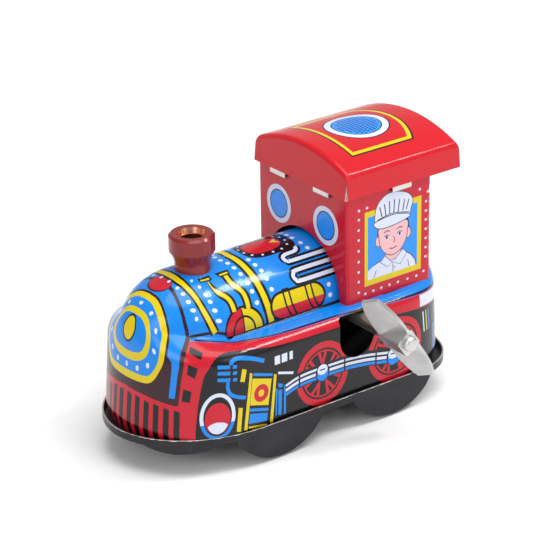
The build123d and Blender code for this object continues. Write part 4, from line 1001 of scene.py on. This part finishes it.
def makeRoof():
    # the flat sheet is a cross: a rectangle with its four corners cut out
    sideP = roofP[8]  # where the fold ends
    pRange = spread((0, roofP[1], 1.2), (roofP[1], sideP, 0.2), (sideP, roofP[-1] - sideP, 1.0),
        (roofP[-1] - sideP, roofP[-1] - roofP[1], 0.2), (roofP[-1] - roofP[1], roofP[-1], 1.2))
    rearEdge, frontEdge = roofQ["rearEdge"], roofQ["frontEdge"]
    qRange = spread((0, rearEdge - roofTurn, 1.6), (rearEdge - roofTurn, rearEdge, 0.22),
        (rearEdge, frontEdge, 1.4), (frontEdge, frontEdge + roofTurn, 0.22),
        (frontEdge + roofTurn, roofTotal, 1.6))
    gap = roof["cornerGap"]
    p0, p1, p2, p3 = 0, roofP[1] + gap, roofP[-1] - roofP[1] - gap, roofP[-1]
    q0, q1, q2, q3 = 0, rearEdge - roofTurn + gap, frontEdge + roofTurn - gap, roofTotal
    corners = [(p1, q0), (p2, q0), (p2, q1), (p3, q1), (p3, q2), (p2, q2), (p2, q3), (p1, q3), (p1, q2),
        (p0, q2), (p0, q1), (p1, q1)]
    piece = printedSheet("printedRoof", corners, roofPrints(), "roofRed", bendRoof, pRange, qRange,
        roof["thickness"])
    piece.data.materials.append(enamel)
    piece.data.materials.append(bareTin)
    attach(piece, "chassis")
    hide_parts("cab_roof")


def makeRoofTabs():
    # each tab is a strip carried along a bent path: down from the flange, a quarter turn, then inwards
    r, drop, reach = 0.35, roof["tabDrop"], roof["tabReach"]
    t = np.radians(np.linspace(0, 90, 6))
    path = np.concatenate([[(0, 0)], np.stack([-r + r * np.cos(t), -drop + r - r * np.sin(t)], 1),
        [(-reach - r, -drop)]])
    path[:, 0] += roof["flare"]
    across = np.linspace(-0.5, 0.5, 3) * roof["tabWidth"]
    thick = roof["thickness"]
    normal = np.gradient(path, axis=0)
    normal = np.stack([normal[:, 1], -normal[:, 0]], 1) / np.hypot(*normal.T)[:, None]
    verts, tris, count = [], [], 0
    midX = cab["rear"] + roof["sideTabFromRear"]
    seats = [((roof["front"], s * roof["tabPlace"]), (1, 0)) for s in (-1, 1)]
    seats += [((midX, s * roof["half"]), (0, s)) for s in (1, -1)]
    for (sx, sy), (nx, ny) in seats:
        loop = np.concatenate([path, (path + normal * thick)[::-1]])
        rows = len(loop)
        out, up = loop[:, 0][:, None], loop[:, 1][:, None]
        x = sx + out * nx - across[None, :] * ny
        y = midY + sy + out * ny + across[None, :] * nx
        z = roof["bottom"] + up + 0 * across[None, :]
        verts.append(np.stack([x, y, z], -1).reshape(-1, 3))
        i, j = np.meshgrid(np.arange(rows), np.arange(2), indexing="ij")
        a, b = count + i * 3 + j, count + ((i + 1) % rows) * 3 + j
        tris.append(np.concatenate([np.stack([a, a + 1, b], -1).reshape(-1, 3),
            np.stack([a + 1, b + 1, b], -1).reshape(-1, 3)]))
        k = np.arange(len(path) - 1)
        for edge, flip in ((0, False), (2, True)):
            w, e = count + k * 3 + edge, count + (k + 1) * 3 + edge
            w2, e2 = count + (rows - 1 - k) * 3 + edge, count + (rows - 2 - k) * 3 + edge
            caps = np.concatenate([np.stack([w, e, w2], 1), np.stack([e, e2, w2], 1)])
            tris.append(caps[:, ::-1] if flip else caps)
        count += rows * 3
    verts, tris = np.concatenate(verts) * mm, np.concatenate(tris)
    mesh = bpy.data.meshes.new("roofTabs")
    mesh.from_pydata(verts.tolist(), [], tris.tolist())
    piece = bpy.data.objects.new("roofTabs", mesh)
    scene.collection.objects.link(piece)
    mesh.materials.append(bareTin)
    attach(piece, "chassis")


makeRoof()
makeRoofTabs()
print("roof folded and printed")


panEdge = panHigh.z - 0.00012
finishes = {
    "black_tin": paintedTin("blackPanEnamel", (0.012, 0.012, 0.015, 1), (0.02, 0.02, 0.024, 1), 0.28,
        0.08, 0.2, panEdge),
    "lacquered_red": paintedTin("chimneyLacquer", (0.24, 0.014, 0.014, 1), (0.17, 0.009, 0.01, 1), 0.24,
        0.3, 0.3),
    "copper": bareMetal("copperEyelet", (0.72, 0.3, 0.16, 1), (0.5, 0.18, 0.09, 1), 0.3, 0.1),
    "bright_steel": bareMetal("platedKeySteel", (0.5, 0.5, 0.52, 1), (0.34, 0.34, 0.37, 1), 0.18, 0.25, 420),
    "spring_steel": bareMetal("blueSpringSteel", (0.3, 0.31, 0.36, 1), (0.2, 0.2, 0.26, 1), 0.32, 0.2),
    "dull_steel": bareMetal("dullShaftSteel", (0.42, 0.4, 0.37, 1), (0.3, 0.27, 0.24, 1), 0.42, 0.3),
    "zinc_plate": bareMetal("zincPlate", (0.62, 0.62, 0.6, 1), (0.5, 0.5, 0.5, 1), 0.38, 0.2),
    "brass": bareMetal("gearBrass", (0.75, 0.55, 0.22, 1), (0.6, 0.42, 0.16, 1), 0.3, 0.2),
    "black_plastic": paintedTin("wheelPlastic", (0.014, 0.014, 0.016, 1), (0.022, 0.022, 0.024, 1), 0.42,
        0.0),
    "rubber": paintedTin("tyreRubber", (0.02, 0.019, 0.019, 1), (0.03, 0.028, 0.028, 1), 0.62, 0.0),
}
copperFromAxis(finishes["lacquered_red"], (chimneyLow + chimneyHigh) / 2, chimneyHigh.z)
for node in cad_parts.values():
    for held in node.material_slots:
        base = held.material.name.split(".")[0] if held.material else ""
        for key, mat in finishes.items():
            if key in base:
                held.material = mat
print("finishes given to", len(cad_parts), "nodes")


stageSettings = dict(floorHalf=3.0, floorColour=(0.86, 0.86, 0.86, 1))


def makeFloor():
    # a flat grid of points at the height of the wheels' lowest point
    n = 9
    x, y = np.meshgrid(np.linspace(-1, 1, n), np.linspace(-1, 1, n))
    verts = np.stack([x, y, 0 * x], -1).reshape(-1, 3) * stageSettings["floorHalf"]
    verts[:, 2] = cadLow.z
    i, j = np.meshgrid(np.arange(n - 1), np.arange(n - 1), indexing="ij")
    a = (i * n + j).ravel()
    quads = np.stack([a, a + 1, a + n + 1, a + n], 1)
    mesh = bpy.data.meshes.new("studioFloor")
    mesh.from_pydata(verts.tolist(), [], quads.tolist())
    floor = bpy.data.objects.new("studioFloor", mesh)
    scene.collection.objects.link(floor)
    mat, nodes, links, shader = newMaterial("paleFloor")
    place = nodes.new("ShaderNodeTexCoord").outputs["Object"]
    tone = addMix(nodes, links, addRange(nodes, links, addNoise(nodes, links, place, 9), 0, 1),
        stageSettings["floorColour"], (0.84, 0.84, 0.84, 1))
    links.new(tone, shader.inputs["Base Color"])
    shader.inputs["Roughness"].default_value = 0.7
    mesh.materials.append(mat)


lamps = [
    dict(name="overheadSoftbox", place=(-0.05, 0.1, 0.9), aim=(0, 0, 0.03), size=0.8, power=6.2),
    dict(name="rearSoftbox", place=(-0.5, 0.27, 0.74), aim=(0, 0, 0.04), size=0.18, power=2.6),
    dict(name="frontSoftbox", place=(0.75, 0.35, 0.45), aim=(0, 0, 0.03), size=0.5, power=2.2),
    dict(name="keySideSoftbox", place=(-0.25, 0.85, 0.5), aim=(0, 0, 0.03), size=0.6, power=2.2),
]
worldLight = dict(colour=(1, 1, 1, 1), strength=0.5)


def aimed(place, aim):
    # looks along the line from place to aim, with the world's up
    back = (Vector(place) - Vector(aim)).normalized()
    right = Vector((0, 0, 1)).cross(back).normalized()
    up = back.cross(right)
    turn = Matrix((right, up, back)).transposed().to_4x4()
    return Matrix.Translation(place) @ turn


def makeLights():
    # round area lights, each turned to its aim, and an even white world
    for lamp in lamps:
        light = bpy.data.lights.new(lamp["name"], "AREA")
        light.shape = "DISK"
        light.size = lamp["size"]
        light.energy = lamp["power"]
        holder = bpy.data.objects.new(lamp["name"], light)
        holder.matrix_world = aimed(lamp["place"], lamp["aim"])
        scene.collection.objects.link(holder)
    world = bpy.data.worlds.new("studio")
    world.use_nodes = True
    world.node_tree.nodes["Background"].inputs["Color"].default_value = worldLight["colour"]
    world.node_tree.nodes["Background"].inputs["Strength"].default_value = worldLight["strength"]
    scene.world = world


view = dict(
    azimuth=142.674, elevation=24.073, roll=-0.818, distance=0.4955, lens=160.7, sensor=36.0,
    slideRight=0.00208, slideUp=-0.00147, aimHeight=0.030,
)


def makeCamera():
    # stands back from the aim along azimuth and elevation, slid in its own plane, then rolled about its axis
    az, el, roll = np.radians([view["azimuth"], view["elevation"], view["roll"]])
    back = np.array([np.sin(az) * np.cos(el), -np.cos(az) * np.cos(el), np.sin(el)])
    right = np.cross(-back, (0, 0, 1))
    right /= np.linalg.norm(right)
    up = np.cross(right, -back)
    right, up = right * np.cos(roll) + up * np.sin(roll), up * np.cos(roll) - right * np.sin(roll)
    place = np.array([0, midY * mm, view["aimHeight"]]) + back * view["distance"]
    place = place + right * view["slideRight"] + up * view["slideUp"]
    camera = bpy.data.cameras.new("camera")
    camera.lens = view["lens"]
    camera.sensor_width = view["sensor"]
    camera.clip_start = 0.01
    holder = bpy.data.objects.new("camera", camera)
    holder.matrix_world = Matrix.Translation(place) @ Matrix(np.stack([right, up, back], 1).tolist()).to_4x4()
    scene.collection.objects.link(holder)
    scene.camera = holder


makeFloor()
makeLights()
makeCamera()
scene.view_settings.view_transform = "Standard"
print("floor, lights and camera placed")
